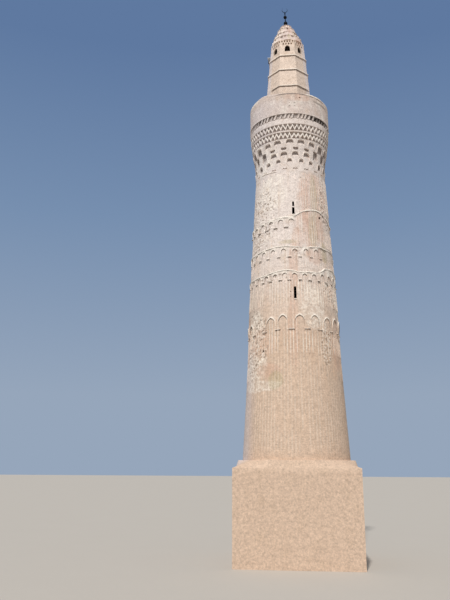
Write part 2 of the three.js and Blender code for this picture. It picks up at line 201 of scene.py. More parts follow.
# %% Plans
class Plan:
    """A node tree that is being filled."""

    def __init__(self, tree):
        self.tree = tree

    def node(self, kind, settings=None, inputs=None, output=0):
        node = self.tree.nodes.new(kind)
        for name, value in (settings or {}).items():
            if name == "stops":
                ramp = node.color_ramp
                while len(ramp.elements) < len(value):
                    ramp.elements.new(0.5)
                for element, (place, colour) in zip(ramp.elements, value):
                    element.position = place
                    element.color = colour
            else:
                setattr(node, name, value)
        for key, value in (inputs or {}).items():
            socket = pick(node.inputs, key)
            if isinstance(value, Wire):
                self.tree.links.new(value.socket, socket)
            else:
                socket.default_value = value
        if not node.outputs:
            return node
        return Wire(self, pick(node.outputs, output))

    def mix(self, factor, first, second, blend="MIX"):
        inputs = {"Factor_Float": factor, "A_Color": first, "B_Color": second}
        settings = {"data_type": "RGBA", "blend_type": blend}
        return self.node("ShaderNodeMix", settings, inputs, "Result_Color")

    def noise(self, place, scale, detail=4.0, rough=0.55):
        inputs = {"Vector": place, "Scale": scale, "Detail": detail, "Roughness": rough}
        return self.node("ShaderNodeTexNoise", {}, inputs, "Fac")

    def stretched(self, place, across, up):
        """The place with its scale changed across and up, which turns round noise into streaks."""
        inputs = {0: place, 1: (across, across, up)}
        return self.node("ShaderNodeVectorMath", {"operation": "MULTIPLY"}, inputs)

    def around(self, place):
        """Angle from the front in degrees, turning right, the radius and the level of a place."""
        axes = self.node("ShaderNodeSeparateXYZ", {}, {0: place})
        turn = axes.maths("ARCTAN2", axes, 0.0 - axes.out("Y"))
        flat = self.node("ShaderNodeVectorMath", {"operation": "MULTIPLY"}, {0: place, 1: (1, 1, 0)})
        radius = self.node("ShaderNodeVectorMath", {"operation": "LENGTH"}, {0: flat}, "Value")
        return turn * math.degrees(1.0), radius, axes.out("Z")

    def kept(self, name):
        """A value that the mesh keeps at its points."""
        kind = "GeometryNodeInputNamedAttribute"
        return self.node(kind, {"data_type": "FLOAT"}, {"Name": name}, "Attribute")

    def ragged(self, place):
        """Noise that frays the edge of a patch; relief and colour share it."""
        return (self.noise(place, 1.1, 6.0, 0.65) - 0.5) * 2.4

    def patch(self, angle, level, where, ragged):
        """1 inside an oval on the wall, 0 outside; ragged is a noise that frays its edge."""
        middle, height, half_angle, half_height = where
        across = (angle - middle) / half_angle
        up = (level - height) / half_height
        return (across * across + up * up + ragged).step(1.35, 0.65)

    def patches(self, angle, level, places, ragged):
        """1 inside any of several ovals."""
        masks = [self.patch(angle, level, where, ragged) for where in places]
        return functools.reduce(Wire.most, masks)


print("plans ready")

# %% [markdown]
# ## Building and finishing a piece
#
# Every wall here is a ring: a closed outline in radius and level, carried around the tower. The outline
# may change from column to column, which is how an arch or a zigzag gets its edge. One function turns
# such a grid of points into a closed mesh. Each finished piece then rides on the one body of this part,
# stands for the solids that it covers, and names its material slot.

# %% Rings
def on_wall(angles, radii, levels):
    """Points at angles from the front, in radians, turning right."""
    angles, radii, levels = np.broadcast_arrays(angles, radii, levels)
    return np.stack([radii * np.sin(angles), -radii * np.cos(angles), levels], axis=-1)


def new_object(name, points, faces):
    mesh = bpy.data.meshes.new(name)
    mesh.from_pydata(np.asarray(points).reshape(-1, 3).tolist(), [], faces)
    obj = bpy.data.objects.new(name, mesh)
    bpy.context.scene.collection.objects.link(obj)
    return obj


def ring_object(name, grid, **marks):
    """Closed ring from a grid of columns; each column goes up the outside and down the inside.
    Marks are values kept at its points, such as how much relief they take."""
    columns, count = grid.shape[:2]
    here = np.arange(columns)[:, None] * count
    there = np.roll(here, -1, axis=0)
    low = np.arange(count)[None, :]
    high = np.roll(low, -1, axis=1)
    faces = np.stack([here + low, there + low, there + high, here + high], axis=-1)
    obj = new_object(name, grid, faces.reshape(-1, 4).tolist())
    for label, values in marks.items():
        spread = np.broadcast_to(values, grid.shape[:2]).astype(np.float32).ravel()
        obj.data.attributes.new(label, "FLOAT", "POINT").data.foreach_set("value", spread)
    return obj


def strip(name, angles, outlines, **marks):
    """Ring from an outline per column: outlines has (columns, points, 2) radii and levels."""
    outlines = np.asarray(outlines, float)
    places = on_wall(np.asarray(angles)[:, None], outlines[..., 0], outlines[..., 1])
    return ring_object(name, places, **marks)


def profile(*points):
    """An outline per column, from the radii and levels of its points in turn."""
    return np.stack([np.stack(point, -1) for point in points], axis=1)


def turned(name, outline, columns):
    """Solid of revolution about the tower's axis; its outline may touch the axis."""
    return weld(strip(name, even_angles(columns), np.broadcast_to(outline, (columns, len(outline), 2))))


def weld(obj):
    """The object with doubled points merged and its faces turned outwards."""
    shape = bmesh.new()
    shape.from_mesh(obj.data)
    bmesh.ops.remove_doubles(shape, verts=shape.verts, dist=1e-5)
    bmesh.ops.dissolve_degenerate(shape, edges=shape.edges, dist=1e-6)
    bmesh.ops.recalc_face_normals(shape, faces=shape.faces)
    shape.to_mesh(obj.data)
    shape.free()
    return obj


print("rings ready")

# %% Solids at the front, and moving points along the wall
def prism(name, outline, near, far):
    """Solid from an outline (across, level) facing the front, between two distances from the axis."""
    count = len(outline)
    depth = [(near(z), far(z)) for x, z in outline]
    points = [(x, -far_y, z) for (x, z), (near_y, far_y) in zip(outline, depth)]
    points += [(x, -near_y, z) for (x, z), (near_y, far_y) in zip(outline, depth)]
    faces = [tuple(range(count)), tuple(range(2 * count - 1, count - 1, -1))]
    faces += [(i, i + count, (i + 1) % count + count, (i + 1) % count) for i in range(count)]
    obj = new_object(name, points, faces)
    shape = bmesh.new()
    shape.from_mesh(obj.data)
    bmesh.ops.triangulate(shape, faces=[f for f in shape.faces if len(f.verts) > 4])
    shape.to_mesh(obj.data)
    shape.free()
    return obj


def slid(obj, drop, radius):
    """The object lowered along the wall, by what drop gives for an angle from the front and a level."""
    for vertex in obj.data.vertices:
        x, y, z = vertex.co
        lower = z - drop(math.degrees(math.atan2(x, -y)), z)
        share = float(radius(lower) / radius(z))
        vertex.co = (x * share, y * share, lower)
    return obj


print("solids ready")

# %% Joining, carving and finishing
def joined(name, objects):
    """Several objects made one; the first one stays and gets the name."""
    with bpy.context.temp_override(active_object=objects[0], selected_editable_objects=objects):
        bpy.ops.object.join()
    objects[0].name = objects[0].data.name = name
    return objects[0]


def settled(obj):
    """The object with its modifiers made into a plain mesh."""
    graph = bpy.context.evaluated_depsgraph_get()
    plain = bpy.data.meshes.new_from_object(obj.evaluated_get(graph))
    obj.modifiers.clear()
    old, obj.data = obj.data, plain
    plain.name = obj.name
    bpy.data.meshes.remove(old)
    return obj


def carved(obj, cutter):
    """The object with the cutter's shape taken away; the cutter is deleted."""
    cut = obj.modifiers.new("carve", "BOOLEAN")
    cut.solver = "MANIFOLD"
    cut.object = cutter
    settled(obj)
    bpy.data.objects.remove(cutter)
    return obj


def finish_piece(obj, material, nodes=(), sharp=38):
    """Last step of every piece: material, smooth shading, body, slot and the solids it stands for."""
    mesh = obj.data
    mesh.materials.clear()
    mesh.materials.append(material)
    mesh.polygons.foreach_set("material_index", [0] * len(mesh.polygons))
    mesh.shade_smooth()
    mesh.set_sharp_from_angle(angle=math.radians(sharp))
    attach(obj, "root")
    if nodes:
        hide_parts(*nodes)
    mesh.calc_loop_triangles()
    print(f"{obj.name}: {len(mesh.loop_triangles)} triangles")


print("finishing ready")

# %% [markdown]
# ## Where the wall has suffered
#
# The wash has come away in a few places, and rain has drawn streaks down from the ledges. Each place is
# an oval on the wall: angle from the front in degrees, level, half its width in degrees and half its
# height in metres. The relief and the colour below read the same list of rough places, so that a bare
# patch is also a rough one.

# %% Worn places
ROUGH_PLACES = [(-57, 18.95, 37, 1.8), (66, 14.6, 22, 1.2), (60, 20.2, 14, 1.7), (-56, 11.7, 22, 1.9),
                (-48, 12.4, 9, 1.0), (43, 11.5, 8, 1.2), (78, 15.7, 10, 0.6), (12, 16.8, 8, 0.3),
                (-30, 15.4, 24, 0.3)]
PINK_PLACES = [(38, 19.9, 26, 2.1), (30, 18.35, 26, 1.05), (2, 16.0, 6, 1.5), (0, 12.4, 6, 2.3),
               (-76, 12.0, 9, 1.5), (64, 11.6, 14, 1.5), (14, 26.6, 18, 0.26), (33, 16.7, 14, 0.6),
               (-45, 11.6, 24, 0.8), (-32, 10.1, 17, 0.4), (8, 17.6, 8, 0.7), (20, 32.6, 20, 0.35),
               (46, 31.6, 16, 0.3)]
GREEN_PLACES = [(37, 20.3, 6, 1.5), (32, 18.2, 7, 1.0), (50, 16.9, 7, 0.6), (-6, 17.42, 14, 0.12),
                (-22, 9.5, 9, 0.5), (8, 31.9, 8, 0.3), (34, 32.2, 12, 0.3)]
# Whiter wash; the entry at -64 degrees on the cap is a painted highlight on its lit left side.
PALE_AND_HIGHLIT_PLACES = [(-58, 10.4, 26, 0.9), (-32, 20.6, 24, 1.2), (26, 13.6, 16, 1.2), (77, 15.5, 8, 0.6),
               (76, 14.2, 13, 1.3), (-64, 32.4, 50, 0.9), (-52, 12.4, 14, 1.1), (-45, 9.2, 30, 0.3),
               (-50, 22.9, 30, 1.0)]
print("worn places:", len(ROUGH_PLACES) + len(PINK_PLACES) + len(GREEN_PLACES) + len(PALE_AND_HIGHLIT_PLACES))

# %% [markdown]
# ## Brickwork relief
#
# Old bricks under thick lime wash show as soft courses: the joints are a few millimetres deep where the
# wash is thin, and vanish where it is thick. Modelling each brick would waste triangles, so the wall
# meshes have a row of points on each joint and beside it, and one Geometry Nodes tree moves them in and
# out. It reads how far along the wall a point lies and how much of the relief it takes (`skin`).

# %% Trees for meshes
def new_tree(name, inputs):
    """An empty Geometry Nodes tree with named inputs, and the wire of its group inputs."""
    tree = bpy.data.node_groups.new(name, "GeometryNodeTree")
    tree.interface.new_socket("Geometry", in_out="INPUT", socket_type="NodeSocketGeometry")
    tree.interface.new_socket("Geometry", in_out="OUTPUT", socket_type="NodeSocketGeometry")
    for label, value in inputs.items():
        kind = "NodeSocketMaterial" if value is None else (
            "NodeSocketInt" if isinstance(value, int) else "NodeSocketFloat")
        socket = tree.interface.new_socket(label, in_out="INPUT", socket_type=kind)
        if value is not None:
            socket.default_value = value
    plan = Plan(tree)
    return plan, plan.node("NodeGroupInput", {}, {}, "Geometry")


def close_tree(plan, given, shape):
    """Every tree ends alike: copies made real, and the material set."""
    real = plan.node("GeometryNodeRealizeInstances", {}, {"Geometry": shape})
    painted = plan.node("GeometryNodeSetMaterial", {},
                        {"Geometry": real, "Material": given.out("Material")})
    plan.node("NodeGroupOutput", {}, {"Geometry": painted})
    return plan.tree


def grown(obj, tree, material, **values):
    """The object's mesh after the tree; underscores in the names of values stand for spaces."""
    wanted = {label.replace("_", " "): value for label, value in values.items()}
    wanted["Material"] = material
    step = obj.modifiers.new(tree.name, "NODES")
    step.node_group = tree
    for item in tree.interface.items_tree:
        if item.in_out == "INPUT" and item.name in wanted:
            step[item.identifier] = wanted.pop(item.name)
    assert not wanted, wanted
    return settled(obj)


print("trees can be made and used")

# %% The weathering tree
COURSE, BRICK, MORTAR = 0.085, 0.245, 0.006
GRAIN = 0.014
PIT_SCALE = 8.0


def weathering_tree():
    """Moves points along their normals: slow waves, single bricks, joints, grain and chips."""
    plan, given = new_tree("weathering", {
        "Joint Depth": 0.006, "Brick Lift": 0.004, "Sag": 0.02, "Chip Depth": 0.02,
        "Seed": 0.0, "Material": None,
    })
    place = plan.node("GeometryNodeInputPosition")
    angle, _, level = plan.around(place)
    laid = plan.node("ShaderNodeCombineXYZ", {}, {"X": plan.kept("along"), "Y": level - SHAFT_FOOT})
    bricks = plan.node("ShaderNodeTexBrick", {"offset": 0.5, "offset_frequency": 2}, {
        "Vector": laid, "Color1": (0, 0, 0, 1), "Color2": (1, 1, 1, 1), "Mortar": (0.5, 0.5, 0.5, 1),
        "Scale": 1.0, "Mortar Size": MORTAR, "Mortar Smooth": 0.0, "Bias": 0.0,
        "Brick Width": BRICK, "Row Height": COURSE,
    }, "Color")
    moved = plan.node("ShaderNodeVectorMath", {"operation": "ADD"}, {0: place, 1: given.out("Seed")})
    slow = plan.noise(moved, 0.55, 3.0) - 0.5
    wash = plan.noise(moved, 3.2, 5.0, 0.6)
    grain = plan.noise(moved, 11.0, 3.0, 0.6) - 0.5
    rough = plan.patches(angle, level, ROUGH_PLACES, plan.ragged(place))
    pits = plan.noise(place, PIT_SCALE, 2.0, 0.5)
    bites = pits.step(0.53, 0.63) - pits.step(0.45, 0.36) * 0.5
    joints = bricks.out("Fac") * wash.step(0.7, 0.3) * given.out("Joint Depth")
    shift = (slow * given.out("Sag") + (bricks - 0.5) * given.out("Brick Lift") + grain * GRAIN
             - joints - bites * rough * given.out("Chip Depth"))
    offset = plan.node("ShaderNodeVectorMath", {"operation": "SCALE"}, {
        0: plan.node("GeometryNodeInputNormal"), "Scale": shift * plan.kept("skin")})
    shaped = plan.node("GeometryNodeSetPosition", {}, {"Geometry": given, "Offset": offset})
    return close_tree(plan, given, shaped)


WEATHERING = weathering_tree()
print("tree", WEATHERING.name, "with", len(WEATHERING.nodes), "nodes")

# %% [markdown]
# ## A ring of like pieces
#
# Niches, teeth, ribs and windows repeat around the tower. Each is modelled once at the front, where it
# is easy to draw, and a second tree turns copies of it around the axis. Counts, a starting turn and a
# little unevenness are its inputs, and a gap leaves copies out on one stretch. `Lean` makes the copies
# on one side reach out further. Old masons' work is never quite regular, and a fixed seed keeps each
# result the same.

# %% The ring tree and the row tree
def ring_tree():
    """Copies of a piece around the tower's axis."""
    plan, given = new_tree("ring of pieces", {
        "Count": 20, "Phase": 0.0, "Wander": 0.0, "Size Wander": 0.0, "Lean": 0.0, "Lean Towards": 0.0,
        "Gap Middle": 0.0, "Gap Reach": -1.0, "Seed": 1, "Material": None,
    })
    dots = plan.node("GeometryNodePoints", {}, {"Count": given.out("Count")})
    index = plan.node("GeometryNodeInputIndex")

    def chance(seed):
        inputs = {"Min_001": -1.0, "Max_001": 1.0, "ID": index, "Seed": seed}
        return plan.node("FunctionNodeRandomValue", {"data_type": "FLOAT"}, inputs, "Value_001")

    wander, spread = chance(given.out("Seed")), chance(given.out("Seed") + 50)
    turn = (index + given.out("Phase") + wander * given.out("Wander")) * math.tau / given.out("Count")
    past = turn - given.out("Lean Towards") * math.radians(1.0)
    lean = past.maths("COSINE", past) * given.out("Lean")
    size = 1.0 + spread * given.out("Size Wander") + lean
    degrees = turn * math.degrees(1.0) - given.out("Gap Middle") + 180.0
    away = (degrees.maths("FLOORED_MODULO", degrees, 360.0) - 180.0).size()
    copies = plan.node("GeometryNodeInstanceOnPoints", {}, {
        "Points": dots, "Instance": given,
        "Selection": away.maths("GREATER_THAN", away, given.out("Gap Reach")),
        "Rotation": plan.node("ShaderNodeCombineXYZ", {}, {"Z": turn}),
        "Scale": plan.node("ShaderNodeCombineXYZ", {}, {"X": size, "Y": size, "Z": 1.0}),
    })
    return close_tree(plan, given, copies)


def row_tree():
    """Copies of a piece side by side, with the middle of the row at the front."""
    plan, given = new_tree("row of pieces", {"Count": 5, "Spacing": 0.2, "Material": None})
    index = plan.node("GeometryNodeInputIndex")
    across = (index - (given.out("Count") - 1) * 0.5) * given.out("Spacing")
    place = plan.node("ShaderNodeCombineXYZ", {}, {"X": across})
    dots = plan.node("GeometryNodePoints", {}, {"Count": given.out("Count"), "Position": place})
    copies = plan.node("GeometryNodeInstanceOnPoints", {}, {"Points": dots, "Instance": given})
    return close_tree(plan, given, copies)


RING = ring_tree()
ROW = row_tree()
print("trees", RING.name, "and", ROW.name)

# %% [markdown]
# ## Lime wash
#
# The tower is cream-white high up and tanner lower down, where the wash is thinner and the brick warms
# it. A photograph could be wrapped around it, but colour made of masks stays sharp at any distance, and
# each stain can be moved by one number. A mask is a value between 0 and 1, made from noise and from the
# level and angle on the wall. Thin upright ribs show as pale lines of painted highlight, so their mask
# repeats 96 times around, exactly where the modelled ribs stand.

# %% Colours
def paint(red, green, blue):
    """Linear colour from the usual 0 to 255 values."""
    def linear(value):
        value /= 255
        return value / 12.92 if value <= 0.04045 else ((value + 0.055) / 1.055) ** 2.4
    return (linear(red), linear(green), linear(blue), 1.0)


WASH = paint(236, 224, 217)
WARM_WASH = paint(217, 191, 169)
GALLERY_WASH = paint(220, 205, 197)
LANTERN_WASH = paint(236, 216, 200)
CAP_WASH = paint(227, 208, 200)
# Clean wash, also laid on as painted highlight on lit edges.
CLEAN_WASH_AND_HIGHLIGHT = paint(250, 243, 232)
# Thin wash, also laid between the ribs as painted shade.
THIN_WASH_AND_SHADE = paint(206, 180, 156)
BARE_BRICK = paint(150, 134, 120)
LILAC_WASH = paint(215, 209, 216)
PINK_STAIN = paint(212, 172, 150)
GREEN_STAIN = paint(186, 172, 136)
# Dust colour, laid on mostly as painted shade.
SHADE_AND_DUST = paint(124, 112, 106)
# Soot colour, also laid on as painted shade and painted shadow.
SOOT_AND_SHADE = paint(50, 42, 36)
RIBS = 96


def shader_plan(name):
    material = bpy.data.materials.new(name)
    material.use_nodes = True
    material.node_tree.nodes.clear()
    return material, Plan(material.node_tree)


def close_shader(plan, colour, roughness, height, distance, **sockets):
    """Ends a material: colour, roughness, bumps from a height, and constant sockets."""
    bump = plan.node("ShaderNodeBump", {}, {"Height": height, "Distance": distance, "Strength": 1.0})
    inputs = {"Base Color": colour, "Roughness": roughness, "Normal": bump}
    inputs.update({label.replace("_", " "): value for label, value in sockets.items()})
    surface = plan.node("ShaderNodeBsdfPrincipled", {}, inputs)
    plan.node("ShaderNodeOutputMaterial", {}, {"Surface": surface})


print("colours ready")

# %% Where a point lies
OUTER_RADII, WITHIN_RADII = (2.3, 2.35), (1.9, 1.8)


class WallPoint:
    """Where a shaded point lies on the tower, and the noises that several layers read."""

    def __init__(self, plan):
        self.plan = plan
        self.place = plan.node("ShaderNodeTexCoord", {}, {}, "Object")
        self.angle, self.radius, self.level = plan.around(self.place)
        self.broad = plan.noise(self.place, 0.45, 4.0)
        self.blotch = plan.noise(self.place, 1.6, 7.0, 0.6)
        self.mottle = plan.noise(self.place, 5.5, 5.0, 0.65)
        self.speck = plan.noise(self.place, 15.0, 2.0, 0.5)
        self.pits = plan.noise(self.place, PIT_SCALE, 2.0, 0.5)
        self.fine = plan.noise(self.place, 38.0, 4.0, 0.6)
        self.drips = plan.noise(plan.stretched(self.place, 4.5, 0.22), 1.0, 5.0, 0.6)
        self.ragged = plan.ragged(self.place)
        self.outer = self.radius.step(*OUTER_RADII)
        self.within = self.radius.step(*WITHIN_RADII)

    def behind_wall(self):
        """How far the point lies behind the face of the shaft or corbel, in metres."""
        slim = self.level.step(SLIM_HIGH, SLIM_LOW) * SLIM_FOOT
        shaft = NECK_RADIUS + TAPER * NECK_LEVEL - self.level * TAPER - slim
        corbel = self.level.step(SWELL_FOOT, SLAB_FOOT) * SWELL + shaft_radius(CORBEL_FOOT)
        return shaft.most(corbel) - self.radius

    def behind_lantern(self):
        """How far the point lies behind the flat face of the lantern, in metres."""
        axes = self.plan.node("ShaderNodeSeparateXYZ", {}, {0: self.place})
        across, along = axes.out("X").size(), axes.out("Y").size()
        flat = across.most(along).most((across + along) * math.sqrt(0.5))
        foot, bend, top = LANTERN_FLATS
        lower = foot - (self.level - GALLERY_LEVEL) * ((foot - bend) / (LANTERN_BEND - GALLERY_LEVEL))
        upper = bend - (self.level - LANTERN_BEND) * ((bend - top) / (LANTERN_TOP - LANTERN_BEND))
        return lower.least(upper) - flat


print("gallery wall outside", OUTER_RADII[0], "m, lantern within", WITHIN_RADII[0], "m")

# %% Masks that follow the building
RIB_LEVELS = [(13.75, 15.1, 0.12), (10.9, 12.9, 0.15)]
RIB_PATCH = (42, 19.6, 34, 2.6)
NICHE_DEPTH = 0.2
RIM_DIP = 0.00003
# Height of the painted shadow under each ledge of the lantern.
LEDGE_SHADOW = 0.045


def inside_soot_and_shade(at):
    """1 on walls of rooms, slits and windows, which take soot and painted shade."""
    above = at.level.step(GALLERY_LEVEL - 0.01, GALLERY_LEVEL + 0.01)
    niches = at.level.step(CORBEL_FOOT - 0.05, CORBEL_FOOT)
    below = (at.behind_wall() - niches * NICHE_DEPTH).step(0.04, 0.1) * (1 - above)
    above = above * at.level.step(LANTERN_TOP + 0.02, LANTERN_TOP - 0.01)
    return below + at.behind_lantern().step(0.03, 0.12) * above


def rib_lines(at):
    """1 on the ribs, and how strongly they show here."""
    plan, level = at.plan, at.level
    across = at.angle * (RIBS / 360.0) + 0.5
    line = (across.maths("FRACT", across) - 0.5).size().step(0.30, 0.14)
    gaps = plan.noise(plan.stretched(at.place, 2.2, 0.35), 1.0, 3.0).step(0.38, 0.55)
    shown = plan.patch(at.angle, level, RIB_PATCH, 0.0)
    for low, high, soft in RIB_LEVELS:
        shown = shown.most(level.between(low, high, soft))
    shown = shown.most(level.between(SHAFT_FOOT + 0.4, 18.0, 0.4) * 0.45)
    return line, shown * gaps


def shadow_and_crack_lines(at):
    """Painted shadow under the gallery wall's rim and the lantern's ledges, a crack, and darker lantern
    sides.
    """
    angle, level = at.angle, at.level
    broken = at.plan.noise(at.place, 2.4, 3.0).step(0.35, 0.5)
    # A painted shadow under the coping of the rim, and a crack lower down at the right.
    rim_level = PARAPET_TOP - 0.06 - angle * angle * RIM_DIP
    below_rim = (level - rim_level).size()
    rim = below_rim.step(0.05, 0.02) * angle.between(-20, 60, 8)
    run = (level - rim_level + 0.26).size().step(0.1, 0.02)
    rim = rim.most(run * angle.between(38, 68, 5) * 0.75) * at.outer
    lantern = at.within * level.step(GALLERY_LEVEL, GALLERY_LEVEL + 0.1)
    # A painted shadow under each ledge of the lantern.
    under = level.between(LEDGES[0] - LEDGE_SHADOW, LEDGES[0], 0.012) * angle.between(-46, 60, 1)
    for foot in LEDGES[1:]:
        under = under.most(level.between(foot - LEDGE_SHADOW, foot, 0.012))
    sides = angle.size().between(24, 70, 2) * level.step(LANTERN_TOP, LANTERN_TOP - 0.1)
    return (rim * (0.4 + broken * 0.5)).most(lantern * (under * 0.75).most(sides * 0.1))


print("masks ready")

# %% [markdown]
# ## Layers of the wash
#
# Each layer is a function that takes the colour so far and gives it back with something laid over it, in
# the order in which the wall got it: wash, tints, stains, grime with painted shade and highlight, ribs and
# chips. Numbers after a mask say how much of the new colour shows. Carved plaster gets one more layer:
# painted shade, with some dust, in the hollows, and painted highlight on the proud edges. That layer also
# reads a value that the carved meshes keep: above 0 for painted shade on a hidden place, below 0 for
# painted highlight on an edge in the open.

# %% Wash, tints and stains
def base_wash(at):
    """Cream above, tanner below, and tones of their own for gallery wall, lantern and cap."""
    plan, level = at.plan, at.level
    colour = plan.mix((level + (at.broad - 0.5) * 3.0).step(17.7, 11.1), WASH, WARM_WASH)
    gallery = level.step(GALLERY_LEVEL - 0.05, GALLERY_LEVEL + 0.05)
    colour = plan.mix(gallery, colour, GALLERY_WASH)
    colour = plan.mix(gallery * at.within, colour, LANTERN_WASH)
    return plan.mix(level.step(LANTERN_TOP - 0.02, LANTERN_TOP + 0.02), colour, CAP_WASH)


def tinted(at, colour):
    """Warmer to the right, thin in blotches, and cooler at the left of the corbel and of the foot."""
    plan, angle, level, blotch = at.plan, at.angle, at.level, at.blotch
    right = (angle + (at.broad - 0.5) * 60.0).step(5.0, 80.0) * level.step(23.0, 20.0)
    colour = plan.mix(right * 0.27, colour, WARM_WASH)
    colour = plan.mix(blotch.step(0.5, 0.7) * 0.4, colour, THIN_WASH_AND_SHADE)
    parapet = level.between(GALLERY_LEVEL, PARAPET_TOP, 0.05) * at.outer
    colour = plan.mix(blotch.step(0.5, 0.36) * parapet * 0.5, colour, CLEAN_WASH_AND_HIGHLIGHT)
    colour = plan.mix(parapet * level.step(26.3, 26.8) * 0.25, colour, THIN_WASH_AND_SHADE)
    cool = angle.step(5.0, -55.0) * level.between(CORBEL_FOOT, PARAPET_TOP, 0.8) * 0.37
    cool = cool.most(angle.step(-46.0, -70.0) * level.step(12.6, 11.0) * 0.5)
    return plan.mix(cool, colour, LILAC_WASH)


def stained(at, colour):
    """White places, one a painted highlight on the cap, pink and green places, and thin upright drips."""
    broken = 0.3 + 0.7 * at.mottle.step(0.42, 0.58)
    streaky = 0.45 + 0.55 * at.drips.step(0.36, 0.6)
    for places, breaks, share, stain in ((PALE_AND_HIGHLIT_PLACES, broken, 0.52, CLEAN_WASH_AND_HIGHLIGHT),
                                         (PINK_PLACES, streaky, 0.46, PINK_STAIN),
                                         (GREEN_PLACES, streaky, 0.55, GREEN_STAIN)):
        for where in places:
            mask = at.plan.patch(at.angle, at.level, where, at.ragged) * breaks * share
            colour = at.plan.mix(mask, colour, stain)
    return at.plan.mix(at.drips.step(0.54, 0.75) * 0.3, colour, THIN_WASH_AND_SHADE)


print("layers: wash, tints and stains")

# %% Grime, ribs and chips
def grime_shade_and_highlight(at, colour):
    """Painted shadow under ledges, darker sides, cooler lantern corners, painted highlight on the rim,
    painted shade on the cap.
    """
    plan, angle, level = at.plan, at.angle, at.level
    # Painted shadow lines under the rim and the ledges.
    colour = plan.mix(shadow_and_crack_lines(at), colour, SHADE_AND_DUST)
    flanks = angle.step(45.0, 70.0).most(angle.step(-62.0, -80.0))
    flanks = flanks * level.between(22.4, TEETH_FOOT, 0.2) * 0.24
    flanks = flanks.most(angle.step(-35.0, -70.0) * level.between(12.9, 15.0, 0.7) * 0.14)
    colour = plan.mix(flanks, colour, SHADE_AND_DUST)
    corners = angle.size().step(55.0, 58.0) * at.within * level.between(GALLERY_LEVEL, LANTERN_TOP, 0.1)
    colour = plan.mix(corners * 0.5, colour, LILAC_WASH)
    # A painted highlight along the rim of the gallery wall.
    rim_highlight = angle.between(26, 52, 4).most(angle.between(-80, -50, 5)) * at.outer
    rim_highlight = rim_highlight * level.step(PARAPET_TOP - 0.1, PARAPET_TOP - 0.04)
    colour = plan.mix(rim_highlight * 0.65, colour, CLEAN_WASH_AND_HIGHLIGHT)
    # Painted shade on the right side of the cap.
    shady = angle.step(25.0, 75.0) * level.step(LANTERN_TOP, LANTERN_TOP + 0.2)
    return plan.mix(shady * 0.29, colour, SHADE_AND_DUST)


def rib_highlight_and_shade(at, colour):
    """Pale lines of painted highlight on the ribs, and thinner wash, partly painted shade, between them."""
    line, shown = rib_lines(at)
    # Painted shade between the ribs and a painted highlight on them.
    colour = at.plan.mix(shown * (1 - line) * 0.22, colour, THIN_WASH_AND_SHADE)
    return at.plan.mix(shown * line * 0.4, colour, CLEAN_WASH_AND_HIGHLIGHT)


def chipped(at, colour):
    """Rough places: crumbs of white wash left standing, and bare brick where it fell."""
    plan, pits = at.plan, at.pits
    rough = plan.patches(at.angle, at.level, ROUGH_PLACES, at.ragged)
    colour = plan.mix(pits.step(0.46, 0.36) * rough * 0.6, colour, CLEAN_WASH_AND_HIGHLIGHT)
    return plan.mix(pits.step(0.54, 0.64) * (0.16 + 0.54 * rough), colour, BARE_BRICK)


print("layers: grime, ribs and chips")

# %% Painted shade, dust and highlight in the carving
def carving_shade_and_highlight(at, colour):
    """Painted shade with some dust in the niches and on the teeth, painted highlight on what stands proud.
    """
    plan, depth, side = at.plan, at.behind_wall(), at.angle.size()
    # Painted shade, with some dust, in the niches, darker towards the sides.
    niches = depth.step(0.01, 0.16) * at.level.between(CORBEL_FOOT, GALLERY_LEVEL, 0.03)
    colour = plan.mix(niches * (0.72 + 0.12 * side.step(25.0, 50.0)), colour, SHADE_AND_DUST)
    # Painted shade on the tooth course, and painted shadow in its gaps at the right.
    teeth = at.level.between(TEETH_FOOT, TEETH_TOP, 0.02)
    colour = plan.mix(teeth * depth.step(-0.04, 0.03) * (0.5 + 0.25 * side.step(12.0, 30.0)), colour, SHADE_AND_DUST)
    gaps = teeth * at.angle.between(32, 66, 5) * depth.step(-0.09, 0.04)
    colour = plan.mix(gaps * 0.9, colour, SOOT_AND_SHADE)
    # Painted highlight on what stands proud of the wall.
    low_part = at.level.step(GALLERY_LEVEL + 0.02, GALLERY_LEVEL)
    proud = (0.0 - depth).step(0.012, 0.035) * low_part * (1 - teeth)
    colour = plan.mix(proud * 0.62, colour, CLEAN_WASH_AND_HIGHLIGHT)
    # Painted shade on hidden places and painted highlight on edges in the open, as the carved meshes mark
    # them.
    shade = plan.node("ShaderNodeAttribute", {"attribute_name": "hollow"}, {}, "Fac")
    colour = plan.mix(shade.step(0.15, 0.9) * 0.6, colour, SHADE_AND_DUST)
    return plan.mix((0.0 - shade).step(0.1, 0.9) * 0.6, colour, CLEAN_WASH_AND_HIGHLIGHT)


print("layer: dust in the carving")

# %% The lime wash material
BUMP_HEIGHT = 0.012


def lime_wash(name, layers):
    """Wash with its layers in turn, soot and painted shade inside, a fine mottle over all, and bumps."""
    material, plan = shader_plan(name)
    at = WallPoint(plan)
    colour = base_wash(at)
    for layer in layers:
        colour = layer(at, colour)
    # Soot and painted shade on the walls inside rooms, slits and windows.
    colour = plan.mix(inside_soot_and_shade(at) * 0.94, colour, SOOT_AND_SHADE)
    tone = 1.0 + (at.mottle - 0.5) * 0.7 + (at.speck - 0.5) * 0.6
    light = plan.node("ShaderNodeCombineXYZ", {}, {"X": tone, "Y": tone, "Z": tone})
    colour = plan.mix(1.0, colour, light, "MULTIPLY")
    height = at.fine * 0.4 + at.mottle + at.speck * 0.6
    close_shader(plan, colour, 0.82 + 0.14 * at.mottle, height, BUMP_HEIGHT,
                 IOR=1.45, Specular_IOR_Level=0.25)
    return material


